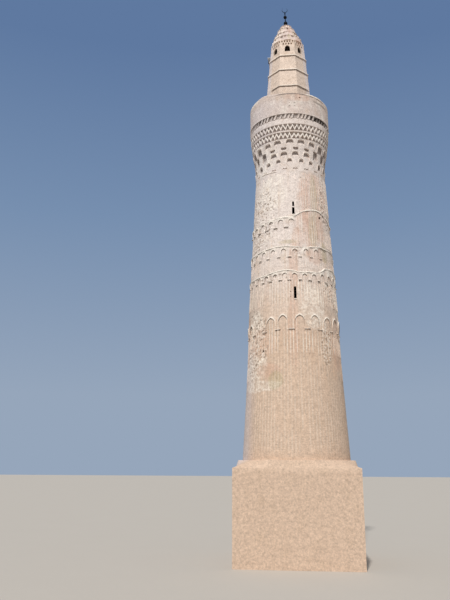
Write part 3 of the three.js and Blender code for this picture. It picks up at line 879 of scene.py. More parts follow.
LAYERS = [tinted, stained, grime_shade_and_highlight, rib_highlight_and_shade, chipped]
LIME_WASH = lime_wash("lime_washed_masonry", LAYERS)
CARVED = lime_wash("carved_plaster", LAYERS + [carving_shade_and_highlight])
for material in (LIME_WASH, CARVED):
    print(material.name, "has", len(material.node_tree.nodes), "nodes")

# %% [markdown]
# ## The shaft
#
# A plain wall 16.6 m high around an eight-sided well. Its mesh has 64 bricks around with four columns of
# points each, and three rows of points a course, so joints fall on points. It is split in two at a joint
# behind the lowest row of arches, which keeps each mesh light. Slit windows and the small holes that the
# builders' scaffold left are cut last.

# %% Shaft walls
COLUMNS = 256
AROUND = even_angles(COLUMNS)
JOINT_SIDE = 0.014


def bricks_along(angles, per_brick=4):
    """How far along its wall each column lies, in metres, with so many columns a brick."""
    return angles[:, None] / math.tau * len(angles) / per_brick * BRICK


def course_levels(foot, top):
    """Levels of the joints and of both sides of each joint, from foot to top."""
    count = round((top - foot) / COURSE)
    joints = foot + np.arange(count) * COURSE
    rows = np.sort(np.concatenate([joints, joints + JOINT_SIDE, joints + COURSE - JOINT_SIDE]))
    return np.append(rows, top)


def coursed_wall(name, angles, along, rows, outer, inner):
    """A wall with brick courses outside and a smooth inside, both given as radii by level."""
    foot, top = rows[0], rows[-1]
    levels = np.concatenate([rows, [top, foot]])
    radii = np.stack([outer(z) for z in rows] + [inner(top), inner(foot)], axis=1)
    skin = np.zeros(len(levels))
    skin[1:len(rows) - 1] = 1.0
    return ring_object(name, on_wall(angles[:, None], radii, levels[None, :]), skin=skin, along=along)


neck_brick = shaft_radius(NECK_LEVEL) * math.tau / COLUMNS * 4
print("columns", COLUMNS, "with bricks", round(neck_brick, 3), "m long at the neck")

# %% Slits and small holes
SLIT_MIDDLE, SLIT_WIDTH, UPPER_WIDTH = 0.14, 0.15, 0.12
SLIT_FEET = (14.02, 19.12)
SLIT_BAR, SLIT_TOPS = (19.57, 19.63), (14.72, 19.92)


def slit(low, high, width=SLIT_WIDTH):
    """Cutter of a slit window, a little narrower at its top."""
    middle, half = SLIT_MIDDLE, width / 2
    outline = [(middle - half, low), (middle + half, low),
               (middle + half * 0.9, high), (middle - half, high)]
    return prism("slit", outline, lambda z: 0.5, lambda z: BASE_HALF)


def slits():
    """Cutter of both slit windows, and of the guessed ones at the back. A bar crosses the upper slit."""
    front = [slit(SLIT_FEET[0], SLIT_TOPS[0]), slit(SLIT_FEET[1], SLIT_BAR[0]),
             slit(SLIT_BAR[1], SLIT_TOPS[1], UPPER_WIDTH)]
    return grown(joined("slits", front), RING, LIME_WASH, Count=2)


def hole(degrees, level, half_width, half_height, depth, wall):
    """Cutter of a small hole, turned to its place on a round wall."""
    outline = [(-half_width, level - half_height), (half_width, level - half_height * 0.8),
               (half_width * 0.8, level + half_height), (-half_width * 0.9, level + half_height * 0.9)]
    cutter = prism("hole", outline, lambda z: wall(level) - depth, lambda z: wall(level) + 0.15)
    turn = math.radians(degrees)
    for vertex in cutter.data.vertices:
        x, y, z = vertex.co
        vertex.co = (x * math.cos(turn) - y * math.sin(turn), x * math.sin(turn) + y * math.cos(turn), z)
    return cutter


print("slits and holes ready")

# %% The shaft in two pieces
SPLIT = SHAFT_FOOT + 93 * COURSE
# Angle, level, half the width, half the height and depth of each hole.
HOLES = [(47.0, 19.09, 0.1, 0.08, 0.4), (-3.0, 14.15, 0.06, 0.02, 0.12), (-3.0, 14.43, 0.06, 0.02, 0.12),
         (16.4, 21.48, 0.1, 0.02, 0.12), (-39.0, 11.16, 0.08, 0.07, 0.4), (-44.0, 21.5, 0.05, 0.02, 0.12)]
shaft_nodes = [f"shaft_wall_{side}" for side in SIDES]
for name, foot, top in (("shaft_low", SHAFT_FOOT, SPLIT), ("shaft_high", SPLIT, CORBEL_FOOT)):
    wall = coursed_wall(name, AROUND, bricks_along(AROUND), course_levels(foot, top),
                        lambda z: np.full(COLUMNS, shaft_radius(z)),
                        lambda z: octagon(AROUND, well_flat(z)))
    grown(wall, WEATHERING, LIME_WASH, Joint_Depth=0.007, Sag=0.03, Chip_Depth=0.03, Seed=3.0)
    cuts = [hole(*spot, shaft_radius) for spot in HOLES if foot < spot[1] < top]
    if foot == SPLIT:
        cuts.append(slits())
    carved(wall, joined("cuts", cuts))
    finish_piece(wall, LIME_WASH, shaft_nodes if foot == SPLIT else (), 60)

# %% Sills under the slits
sills = []
for level in SLIT_FEET:
    outline = [(0.06, level - 0.06), (0.22, level - 0.06), (0.21, level), (0.07, level)]
    sills.append(prism("sill", outline, lambda z: shaft_radius(z) - 0.05, lambda z: shaft_radius(z) + 0.03))
finish_piece(grown(joined("slit_sills", sills), RING, CARVED, Count=2), CARVED)

# %% [markdown]
# ## String courses and hanging arches
#
# Three thin ledges ring the shaft, and a row of small pointed blind arches hangs from each. They are not
# level: repairs have pushed them up and down. A fourth row, with wider arches, has no ledge. The arches
# are a thin curtain of plaster. Its lower edge rises in each arch, where it has a raised lip, and runs
# out into the wall at the foot between two arches, over a little ledge. The right part of the top row
# was plastered over, and its string course bent up in a hump. The lowest row has lost an arch or two at
# the left and sags there, and a few of its arches stand off the even spacing, so it is first built
# evenly and then slid down the wall.
#
# Each row lists the levels of its string course and of its arches' apex, springing and foot. `share` is
# an arch's part of its spacing and `ledge` the width of a foot. `plain` is the stretch without arches
# and `worn` the ones where the string course has gone flat, both as a middle and a reach in degrees.
# `lines` gives levels of the string course at angles, `sag` how far the arches hang lower at angles,
# and `nudged` the arches that stand some degrees to the side.

# %% Frieze measures
FRIEZES = [
    {"top": 18.97, "string": 0.085, "apex": 18.82, "spring": 18.64, "foot": 18.33,
     "count": 24, "phase": 0.0, "share": 0.52, "ledge": 0.24,
     "plain": (55, 48), "worn": [(-48, 34, 0.012), (38, 55, 0.034)], "nudged": [],
     "sag": [(-180, 0.0), (-60, 0.12), (-42, 0.08), (-20, 0.0), (180, 0.0)],
     "lines": [(-180, 18.97), (-60, 18.93), (-30, 18.97), (1, 18.99), (6, 19.08), (12, 19.24), (17, 19.36),
               (24, 19.44), (31, 19.49), (38, 19.53), (44, 19.51), (50, 19.45), (62, 19.25), (75, 18.98),
               (180, 18.97)]},
    {"top": 17.17, "string": 0.06, "apex": 17.0, "spring": 16.8, "foot": 16.5,
     "count": 24, "phase": 0.27, "share": 0.48, "ledge": 0.2,
     "plain": (67, 23), "worn": [(16, 9, 0.012), (80, 30, 0.02)], "nudged": [],
     "sag": [(0, 0.0)],
     "lines": [(-180, 17.2), (-60, 17.02), (-44, 17.11), (-30, 17.15), (-18, 17.19), (-7, 17.17),
               (6, 17.12), (29, 17.15), (42, 17.24), (48, 17.17), (60, 17.2), (180, 17.2)]},
    {"top": 15.70, "string": 0.06, "apex": 15.52, "spring": 15.36, "foot": 15.12,
     "count": 28, "phase": 0.24, "share": 0.5, "ledge": 0.2,
     "plain": (0, -1), "worn": [(34, 5, 0.012), (8, 2, 0.012)], "nudged": [],
     "sag": [(0, 0.0)],
     "lines": [(-180, 15.72), (-62, 15.52), (-50, 15.54), (-39, 15.56), (-29, 15.63), (-18, 15.71),
               (-7, 15.74), (2, 15.69), (6, 15.62), (10, 15.6), (29, 15.63), (40, 15.72), (47, 15.96),
               (60, 16.03), (72, 16.0), (88, 15.8), (180, 15.72)]},
    {"top": 13.28, "string": 0.0, "apex": 13.12, "spring": 12.75, "foot": 12.32,
     "count": 20, "phase": 0.42, "share": 0.65, "ledge": 0.34,
     "plain": (-47, 8), "worn": [], "nudged": [(19, -2.3), (1, 1.2), (2, 1.0)],
     "sag": [(-180, 0.1), (-80, 0.36), (-62, 0.36), (-34, 0.2), (-14, 0.04), (6, 0.06), (24, 0.0),
             (40, 0.12), (56, 0.06), (90, 0.1), (180, 0.1)],
     "lines": [(-180, 13.28), (180, 13.28)]},
]
STRING_PROUD = 0.062
CURTAIN_PROUD = 0.03
LIP = 0.022
# Height of a thin film under lips and string courses that carries painted shadow.
SHADOW_FILM = 0.065
PLAIN_SUNK = 0.02
FOOT_PROUD = 0.055
FEET_SAG = 0.5
FINE_COLUMNS = 240


def line_level(frieze, degrees):
    """Level of the frieze's ledge at angles in degrees."""
    angles, levels = zip(*frieze["lines"])
    return np.interp((degrees + 180) % 360 - 180, angles, levels)


def arch_rise(across, half, rise):
    """Height of a pointed arch over its springing, at distances from its middle."""
    radius = (rise * rise + half * half) / (2 * half)
    return np.sqrt(np.maximum(radius ** 2 - (np.abs(across) + radius - half) ** 2, 0))


print("frieze arches:", [frieze["count"] for frieze in FRIEZES])

# %% The curtain of plaster
def is_plain(frieze, degrees):
    middle, reach = frieze["plain"]
    return apart(degrees, middle) < reach


def curtain(frieze):
    """The plaster of one row, from its lower edge with lips over the arches up to the string course."""
    pitch = math.tau / frieze["count"]
    radius = shaft_radius(frieze["foot"])
    half = frieze["share"] * pitch / 2
    inside = np.linspace(-1, 1, 11) * (half - 0.012 / radius)
    rise = frieze["spring"] + arch_rise(inside * radius, half * radius, frieze["apex"] - frieze["spring"])
    middles = (np.arange(frieze["count"]) + frieze["phase"]) * pitch
    for arch, degrees in frieze["nudged"]:
        middles[arch] += math.radians(degrees)
    angles, edges = [], []
    for middle in middles:
        swing = rng.normal(0, 0.008)
        angles += [middle - half, *(middle + inside), middle + half]
        edges += [frieze["foot"], *(rise + swing), frieze["foot"] + rng.normal(0, 0.01)]
    angles, edges = np.array(angles), np.array(edges)
    degrees = np.degrees(angles)
    line = line_level(frieze, degrees)
    plain = is_plain(frieze, degrees)
    show = np.clip((edges - frieze["foot"]) / (frieze["spring"] - frieze["foot"]), 0.12, 1.0) * ~plain
    moved = edges + np.clip(line - frieze["top"], -0.08, 0.05) / 2
    edges = np.where(plain, line - frieze["string"] - 0.03, moved)
    wall = shaft_radius(edges)
    sunk = PLAIN_SUNK * plain
    face = CURTAIN_PROUD * show - sunk
    lip = face + LIP * show
    top = line - 0.7 * frieze["string"]
    top_face = shaft_radius(top) + CURTAIN_PROUD * (1.0 if frieze["string"] else 0.15) * ~plain - sunk
    top_level = np.maximum(top, edges + 0.06)
    back = np.minimum(shaft_radius(top), wall) - 0.06
    # A thin film under each lip carries painted shadow, and the lip a painted highlight.
    outlines = profile(
        (shaft_radius(edges - SHADOW_FILM) + 0.003 - sunk, edges - SHADOW_FILM), (wall + 0.004 - sunk, edges - 0.008),
        (wall + lip - 0.004, edges), (wall + lip, edges + 0.012), (wall + lip - 0.002, edges + 0.034),
        (wall + face, edges + 0.05), (top_face, top_level), (back, top_level), (back, edges))
    return strip("curtain", angles, outlines, hollow=[0.3, 1.2, 0.6, -0.8, -0.8, 0.0, 0.0, 0.0, 0.5])


print("curtain ready")

# %% String course, sag and feet
def string_course(frieze):
    """The ledge over one row of arches, uneven and worn flat in places."""
    angles = even_angles(FINE_COLUMNS)
    degrees = np.degrees(angles)
    level = line_level(frieze, degrees) + rng.normal(0, 0.004, len(angles))
    proud = STRING_PROUD + 0.01 * np.sin(degrees * 0.31) + rng.normal(0, 0.005, len(angles))
    for middle, reach, left in frieze["worn"]:
        gap = apart(degrees, middle) / reach
        proud = proud - (STRING_PROUD - left) * np.clip(1.6 - 1.6 * gap ** 2, 0, 1)
    wall, foot = shaft_radius(level), level - frieze["string"]
    under = wall + np.where(is_plain(frieze, degrees), 0.004, CURTAIN_PROUD + 0.003)
    # A thin film under the ledge carries painted shadow, its face and top a painted highlight.
    outlines = profile(
        (under, foot - SHADOW_FILM), (under, foot), (wall + proud - 0.006, foot), (wall + proud, foot + 0.012),
        (wall + proud - 0.004, level - 0.02), (wall + proud - 0.022, level), (wall - 0.05, level + 0.012))
    return strip("string", angles, outlines, hollow=[0.1, 1.0, 0.2, -0.8, -0.8, -0.8, -0.3])


def sagging(frieze):
    """How far the frieze has sagged at an angle and level; its feet have sagged less."""
    angles, drops = zip(*frieze["sag"])

    def drop(angle, level):
        high = np.clip((level - frieze["foot"]) / (frieze["spring"] - frieze["foot"]), 0, 1)
        return float(np.interp(angle, angles, drops) * (FEET_SAG + (1 - FEET_SAG) * high))
    return drop


def arch_foot(frieze):
    """The little ledge under the plaster between two arches, thick below and running out above."""
    low, high = frieze["foot"] - 0.01, frieze["foot"] + 0.055
    half = frieze["ledge"] / 2
    outline = [(-half, low), (half, low), (half * 0.75, high), (-half * 0.75, high)]
    foot = prism("foot", outline, lambda z: shaft_radius(z) - 0.08,
                 lambda z: shaft_radius(z) + 0.01 + FOOT_PROUD * (high - z) / (high - low))
    # Painted shadow on the foot's underside.
    marks = foot.data.attributes.new("hollow", "FLOAT", "POINT")
    marks.data.foreach_set("value", [0.9 if v.co.z < high - 0.01 else 0.1 for v in foot.data.vertices])
    return foot


print("frieze parts ready")

# %% The four rows
rng = np.random.default_rng(11)
for number, frieze in enumerate(FRIEZES, 1):
    parts = [curtain(frieze)]
    if frieze["string"]:
        parts.append(string_course(frieze))
    middle, reach = frieze["plain"]
    parts.append(grown(arch_foot(frieze), RING, CARVED, Count=frieze["count"], Phase=frieze["phase"] + 0.5,
                       Wander=0.06, Size_Wander=0.005, Gap_Middle=float(middle), Gap_Reach=float(reach),
                       Seed=number))
    piece = slid(joined(f"hanging_arches_{number}", parts), sagging(frieze), shaft_radius)
    finish_piece(piece, CARVED, [f"blind_arcade_{number}"])

# %% [markdown]
# ## Ribs
#
# Thin upright ribs of plaster run down the wall between the rows of arches. They are strongest below the
# two lower rows, and on the upper shaft they show only at the right. They follow the taper, so one rib is
# drawn as a slim wedge that leans with the wall, and the ring tree sets the rest. Each copy is a little
# larger or smaller, so some stand out and some sink into the wall, and `Lean` favours one side.

# %% Ribs
# Foot, top, how far they stand proud, how much that differs, and how much `Lean` adds on one side.
RIB_RUNS = [
    (19.6, 21.8, 0.004, 0.005, 0.005), (17.3, 18.3, 0.004, 0.004, 0.003), (15.85, 16.45, 0.006, 0.003, 0.0),
    (13.7, 15.12, 0.013, 0.004, 0.0), (12.35, 12.95, 0.008, 0.003, 0.0), (10.95, 12.3, 0.012, 0.004, 0.0),
    (9.6, 10.95, 0.003, 0.003, 0.0),
]
RIB_SIDE = 45.0


def rib(low, high, proud, half=0.026):
    outline = [(-half, low), (half, low), (half * 0.85, high), (-half * 0.85, high)]
    return prism("wall_ribs", outline, lambda z: shaft_radius(z) - 0.06, lambda z: shaft_radius(z) + proud)


ribs = []
for number, (low, high, proud, wander, lean) in enumerate(RIB_RUNS):
    ribs.append(grown(rib(low, high, proud), RING, CARVED, Count=RIBS, Wander=0.08, Size_Wander=wander,
                      Lean=lean, Lean_Towards=RIB_SIDE, Seed=30 + number))
finish_piece(carved(joined("wall_ribs", ribs), slits()), CARVED)

# %% [markdown]
# ## The corbel
#
# The wall swells out to carry the gallery. Rows of small scooped niches, each row set over the gaps of
# the one below, make it look like a honeycomb, and two zigzag bands run round above them. The niches
# are cut from a smooth ring: a scoop is deep under its arched top and runs out at its foot, which gives
# the dark shape that shows from the ground. Towards the sides and the back three rows are cut once more,
# taller, and all niches sit a little lower there, because the corbel isn't built quite level.

# %% Shapes of the niches
def arch_outline(half, low, spring, apex, steps=5):
    """Outline of a pointed opening: half its width, and the levels of foot, springing and apex."""
    across = [half * (1 - k / steps) for k in range(steps)]
    right = [(x, spring + float(arch_rise(x, half, apex - spring))) for x in across]
    left = [(-x, z) for x, z in reversed(right)]
    return [(-half, low), (half, low), *right, (0.0, apex), *left]


def wedge_outline(half, low, high):
    """Outline of a niche that is narrow at its foot."""
    wide = high - 0.09
    return [(-half * 0.2, low), (half * 0.2, low), (half, wide), (half * 0.9, high), (-half * 0.9, high),
            (-half, wide)]


def scoop(outline, deep, shallow):
    """Cutter whose back leans in towards its top."""
    low = min(z for x, z in outline)
    high = max(z for x, z in outline)

    def back(z):
        share = (z - low) / (high - low)
        return float(corbel_radius(z)) - (shallow + (deep - shallow) * math.sqrt(share))
    return prism("scoop", outline, back, lambda z: float(corbel_radius(z)) + 0.15)


print("outlines of niches ready")

# %% Rows of niches
# Outline, depth at the top and at the foot, starting turn in niches, and seed of the unevenness.
SCOOPS = [
    (arch_outline(0.215, 23.60, 23.75, 23.86), 0.13, 0.03, 0.0, 20),
    (wedge_outline(0.175, 23.19, 23.44), 0.13, 0.02, 0.5, 21),
    (arch_outline(0.2, 22.87, 22.99, 23.14), 0.125, 0.03, 0.5, 22),
    (arch_outline(0.135, 22.46, 22.58, 22.71), 0.12, 0.03, 0.0, 23),
    (arch_outline(0.15, 22.02, 22.06, 22.08), 0.05, 0.04, 0.5, 24),
]
TALL_SCOOPS = [
    (arch_outline(0.235, 23.40, 23.69, 23.83), 0.14, 0.08, 0.0, 20),
    (arch_outline(0.185, 22.88, 23.26, 23.40), 0.14, 0.07, 0.5, 22),
    (arch_outline(0.17, 22.32, 22.58, 22.71), 0.13, 0.06, 0.0, 23),
]
NICHES = 20
NICHE_WANDER = 0.05
TALL_FROM = 40.0
SIDE_ANGLE, SIDE_LIMIT, SIDE_DROP = 34.0, 1.2, 0.075
DROP_FOOT, DROP_RISE = 22.1, 0.3


def side_drop(angle, level):
    """How much lower the niches sit away from the front; the foot of the corbel stays level."""
    away = min(abs(angle) / SIDE_ANGLE, SIDE_LIMIT)
    return SIDE_DROP * away ** 2 * float(np.clip((level - DROP_FOOT) / DROP_RISE, 0, 1))


print("rows of niches:", len(SCOOPS), "all round,", len(TALL_SCOOPS), "taller from", TALL_FROM, "degrees")

# %% Corbel wall
BANDS = [(24.43, 24.86), (23.93, 24.35)]
BAND_DEPTH = 0.1
BAND_EDGE = 0.001
BETWEEN_BANDS = 0.01
ROW_STEP = 0.06
UPPER_ROWS = [24.39, 24.92, 24.98, 25.06, 25.13, TEETH_FOOT]


def corbel_wall():
    """The smooth swelling wall with both bands sunk into it."""
    edges = [level + side for band in reversed(BANDS) for level in band for side in (-BAND_EDGE, BAND_EDGE)]
    rows = np.concatenate([np.arange(CORBEL_FOOT, BANDS[1][0] - 0.03, ROW_STEP), edges, UPPER_ROWS])
    rows.sort()
    sunk = np.zeros(len(rows))
    for low, high in BANDS:
        sunk[(rows > low) & (rows < high)] = BAND_DEPTH
    outer = corbel_radius(rows) - sunk
    outer[(rows > BANDS[1][1]) & (rows < BANDS[0][0])] += BETWEEN_BANDS
    levels = np.concatenate([rows, [SLAB_FOOT, CORBEL_FOOT]])
    radii = np.concatenate([
        np.broadcast_to(outer, (COLUMNS, len(rows))),
        np.stack([octagon(AROUND, well_flat(SLAB_FOOT)), octagon(AROUND, well_flat(CORBEL_FOOT))], axis=1),
    ], axis=1)
    skin = np.where((levels > CORBEL_FOOT + 0.01) & (levels < TEETH_FOOT), 1.0, 0.0)
    grid = on_wall(AROUND[:, None], radii, levels[None, :])
    return ring_object("corbel_wall", grid, skin=skin, along=bricks_along(AROUND))


corbel = corbel_wall()
grown(corbel, WEATHERING, CARVED, Joint_Depth=0.0, Brick_Lift=0.0, Sag=0.02, Chip_Depth=0.0, Seed=3.0)
for scoops, reach in ((SCOOPS, -1.0), (TALL_SCOOPS, TALL_FROM)):
    cutters = [grown(scoop(outline, deep, shallow), RING, CARVED, Count=NICHES, Phase=phase,
                     Wander=NICHE_WANDER, Gap_Reach=reach, Seed=seed)
               for outline, deep, shallow, phase, seed in scoops]
    carved(corbel, slid(joined("niches", cutters), side_drop, corbel_radius))
finish_piece(corbel, CARVED, [f"corbel_{side}" for side in SIDES])

# %% [markdown]
# ## Zigzags, hoods and teeth
#
# The zigzags are single ridges in sunken bands, whitened by a painted highlight, so the dark triangles on
# both sides of them are simply what is left. A ridge is a ring whose level swings up and down. Over the
# niches of three rows a thin hood follows the arch and runs down beside it, which draws the honeycomb.
# The middle row has its hoods only near the front, where its niches aren't recut. Hoods and niches share
# their seeds and slide down together, so they keep meeting. Right under the gallery wall, bricks set on
# edge and leaning make a saw with deep gaps, darkened by painted shade, and by painted shadow at the right.

# %% Zigzag ridges
ZIGZAGS = 56


def zigzag(band, phase, thick=0.076, proud=0.012):
    """A ridge that swings between both edges of its band, with every corner a little off."""
    low, high = band
    spots = np.arange(ZIGZAGS * 2)
    angles = (spots / 2 + phase + rng.normal(0, 0.06, len(spots))) * math.tau / ZIGZAGS
    middle = np.where(spots % 2 == 0, low + thick, high - thick) + rng.normal(0, 0.016, len(spots))
    face = corbel_radius(middle) + proud
    back = corbel_radius(middle) - BAND_DEPTH - 0.02
    outlines = profile(
        (back, middle - thick), (face - 0.008, middle - thick * 0.85), (face, middle),
        (face - 0.008, middle + thick * 0.85), (back, middle + thick))
    # Painted highlight on each ridge, stronger at some corners than at others.
    ridge_highlight = np.clip(rng.normal(0.85, 0.3, len(spots)), 0.1, 1.15)
    return strip("zigzag", angles, outlines, hollow=np.outer(ridge_highlight, [0.0, -0.35, -0.8, -0.8, 0.0]))


print("zigzags of", ZIGZAGS, "swings")

# %% Hoods and the ledge at the foot
# Half the width, springing, apex, starting turn, seed, and how many degrees around the back go without.
HOODS = [(0.225, 23.75, 23.89, 0.0, 20, -1.0), (0.15, 22.58, 22.74, 0.0, 23, -1.0),
         (0.21, 22.99, 23.17, 0.5, 22, 180.0 - TALL_FROM)]


def hood(half, spring, apex, leg=0.3, wide=0.036, proud=0.028):
    """A thin rib bent over one niche, whose legs run out into the wall."""
    def bow(reach, rise):
        steps = np.linspace(1, -1, 13) * reach
        arch = [(x, spring + float(arch_rise(x, reach, rise)), proud) for x in steps]
        return [(reach, spring - leg, 0.0), *arch, (-reach, spring - leg, 0.0)]

    lines = [bow(half, apex - spring), bow(half + wide, apex - spring + wide * 1.4)]
    points = []
    for sunk in (0.0, 0.1):
        for line in lines:
            for x, z, out in line:
                reach = float(corbel_radius(z)) + out - sunk
                points.append((x, -math.sqrt(reach ** 2 - x ** 2), z))
    count = len(lines[0])
    faces = []
    for i in range(count - 1):
        for a, b in ((0, 1), (1, 3), (3, 2), (2, 0)):
            faces.append((a * count + i, a * count + i + 1, b * count + i + 1, b * count + i))
    for i in (0, count - 1):
        faces.append((i, count + i, 3 * count + i, 2 * count + i))
    return weld(new_object("hood", points, faces))


def foot_line():
    """A thin crooked ledge under the niches at the left; elsewhere it lies inside the wall."""
    angles = even_angles(FINE_COLUMNS)
    degrees = (np.degrees(angles) + 180) % 360 - 180
    level = np.interp(degrees, [-46, -18], [22.03, 21.96]) + rng.normal(0, 0.008, len(angles))
    wall = corbel_radius(level) + np.interp(degrees, [-56, -50, -24, -17], [-0.03, 0.035, 0.03, -0.03])
    return strip("foot_line", angles, profile(
        (wall - 0.08, level - 0.03), (wall, level - 0.03), (wall - 0.004, level + 0.012),
        (wall - 0.08, level + 0.05)))


rng = np.random.default_rng(5)
ridges = [foot_line(), zigzag(BANDS[0], 0.2), zigzag(BANDS[1], 0.6, thick=0.092)]
for half, spring, apex, phase, seed, reach in HOODS:
    hoods = grown(hood(half, spring, apex), RING, CARVED, Count=NICHES, Phase=phase, Wander=NICHE_WANDER,
                  Gap_Middle=180.0, Gap_Reach=reach, Seed=seed)
    ridges.append(slid(hoods, side_drop, corbel_radius))
finish_piece(joined("corbel_ridges", ridges), CARVED)

# %% Teeth under the gallery wall
TEETH = 58
TOOTH_HALF, TOOTH_LEAN = 0.06, 0.06


def tooth():
    """A brick on edge that leans to the right as it rises."""
    half, back = TOOTH_HALF, SLAB_RADIUS - 0.02
    points = []
    for z, shift, front in ((TEETH_FOOT + 0.012, -TOOTH_LEAN, SLAB_RADIUS + 0.085),
                            (TEETH_TOP + 0.03, TOOTH_LEAN, SLAB_RADIUS + 0.05)):
        for x, y in ((-half, -back), (half, -back), (half * 0.85, -front), (-half * 0.85, -front)):
            points.append((x + shift, y, z))
    faces = [(3, 2, 1, 0), (4, 5, 6, 7)] + [(i, (i + 1) % 4, (i + 1) % 4 + 4, i + 4) for i in range(4)]
    return weld(new_object("tooth", points, faces))


def slab_edge():
    """A thin skin over the edge of the floor slab, with a small ledge under the teeth."""
    top = GALLERY_LEVEL - 0.01
    outline = [(0.0006, TEETH_FOOT), (0.05, TEETH_FOOT), (0.05, TEETH_FOOT + 0.012),
               (0.002, TEETH_FOOT + 0.02), (0.002, top), (0.0006, top)]
    return turned("edge", [(SLAB_RADIUS + out, level) for out, level in outline], 128)


teeth = grown(tooth(), RING, CARVED, Count=TEETH, Wander=0.2, Size_Wander=0.008, Seed=9)
course = joined("gallery_teeth", [teeth, slab_edge()])
finish_piece(course, CARVED, ["gallery_tooth_course"])

# %% [markdown]
# ## Gallery wall
#
# A plain wall that keeps people from falling, with a softly rounded rim. Its rim isn't level: it is
# highest between the front and the sides, and has a shoulder at the left and a dip at the right. One
# drain hole and four shallow marks of scaffold poles are cut near the front.

# %% Gallery wall
RIM_SWING, RIM_WAVES = 0.05, 0.065
RIM_SPOTS = [(-38, 0.07), (61, -0.04)]
RIM_REACH = 12
TILT_FOOT, TILT_RISE = 26.0, 0.7


def gallery_wall():
    """Ring of the gallery wall, with its upper part lifted to the uneven rim."""
    rows = course_levels(GALLERY_LEVEL, GALLERY_LEVEL + 13 * COURSE)
    drip = [(2.44, GALLERY_LEVEL, 0.0), (2.44, TEETH_TOP, 0.0), (PARAPET_RADIUS, TEETH_TOP, 0.0)]
    outer = [(np.interp(z, [GALLERY_LEVEL, PARAPET_TOP], [PARAPET_RADIUS, 2.454]), z, 1.0) for z in rows]
    rim = [(2.457, 26.82, 1.0), (2.453, 26.865, 0.6), (2.435, 26.885, 0.4), (2.25, PARAPET_TOP, 0.4),
           (2.215, 26.87, 0.4), (PARAPET_INNER, 26.83, 0.4), (PARAPET_INNER, 26.2, 0.4),
           (PARAPET_INNER, GALLERY_LEVEL, 0.0)]
    outline = np.array(drip + outer + rim)
    lift = RIM_SWING * np.sin(-AROUND) + RIM_WAVES * np.sin(2 * AROUND) ** 2
    for middle, height in RIM_SPOTS:
        lift = lift + height * np.exp(-(apart(np.degrees(AROUND), middle) / RIM_REACH) ** 2)
    tilt = lift[:, None] * np.clip((outline[:, 1] - TILT_FOOT) / TILT_RISE, 0, 1)[None, :]
    grid = on_wall(AROUND[:, None], outline[None, :, 0], outline[None, :, 1] + tilt)
    print("rim at", round(PARAPET_TOP + lift.min(), 2), "to", round(PARAPET_TOP + lift.max(), 2), "m")
    return ring_object("gallery_wall", grid, skin=outline[:, 2], along=bricks_along(AROUND))


def parapet_face(level):
    return PARAPET_RADIUS


wall = gallery_wall()
grown(wall, WEATHERING, LIME_WASH, Joint_Depth=0.003, Brick_Lift=0.002, Sag=0.03, Chip_Depth=0.0, Seed=8.0)
drain = hole(15.9, 26.58, 0.05, 0.04, 0.4, parapet_face)
marks = [hole(degrees, level, 0.04, 0.018, 0.12, parapet_face)
         for level in (26.02, 26.23) for degrees in (1.0, 8.6)]
carved(wall, joined("holes", [drain, *marks]))
finish_piece(wall, LIME_WASH,
             [f"gallery_parapet_{side}" for side in ("front", "right", "back", "left")], 50)

# %% [markdown]
# ## The lantern
#
# Eight flat faces lean in towards the cap. Each has a small pointed window near the top, and the back
# face has the doorway to the gallery. Its mesh is a ring as before, but the radius follows an octagon.
# Two rows of little pockets under the cap are cut as rows on one face and then turned eight times.

# %% Lantern walls
LANTERN_COLUMNS = 192
LANTERN_COURSES = 71
POCKET_DEPTH, POCKET_SPACING = 0.07, 0.168


def lantern_walls():
    """Eight-sided wall, with a joint at its very top."""
    angles = even_angles(LANTERN_COLUMNS)
    rows = course_levels(GALLERY_LEVEL, GALLERY_LEVEL + LANTERN_COURSES * COURSE)
    rows[-1] = LANTERN_TOP
    return coursed_wall("lantern_walls", angles, bricks_along(angles, 6), rows,
                        lambda z: octagon(angles, lantern_flat(z)),
                        lambda z: octagon(angles, lantern_room_flat(z)))


def pocket(level, half=0.048, high=0.17):
    """Cutter of one little pocket under the cap."""
    outline = arch_outline(half, level, level + high * 0.6, level + high, 3)
    return prism("pocket", outline, lambda z: float(lantern_flat(z)) - POCKET_DEPTH, lambda z: 1.3)


def through_wall(name, outline):
    """Cutter of an opening right through the lantern's wall."""
    return prism(name, outline, lambda z: 0.5, lambda z: 1.6)


lantern = lantern_walls()
grown(lantern, WEATHERING, LIME_WASH, Joint_Depth=0.004, Brick_Lift=0.003, Sag=0.02, Chip_Depth=0.0,
      Seed=5.0)
windows = through_wall("windows", arch_outline(0.17, 30.71, 30.93, 31.18))
upper = grown(pocket(31.41), ROW, LIME_WASH, Count=5, Spacing=POCKET_SPACING)
lower = grown(pocket(31.21), ROW, LIME_WASH, Count=4, Spacing=POCKET_SPACING)
holes = joined("openings", [windows, upper, lower])
grown(holes, RING, LIME_WASH, Count=8)
carved(lantern, holes)
doorway = through_wall("doorway", arch_outline(0.3, GALLERY_LEVEL - 0.05, 27.05, 27.4))
grown(doorway, RING, LIME_WASH, Count=1, Phase=0.5)
carved(lantern, doorway)
finish_piece(lantern, LIME_WASH, [f"lantern_wall_{side}" for side in SIDES], 30)

# %% Ledges around the lantern
LOST_SHARE = 0.1


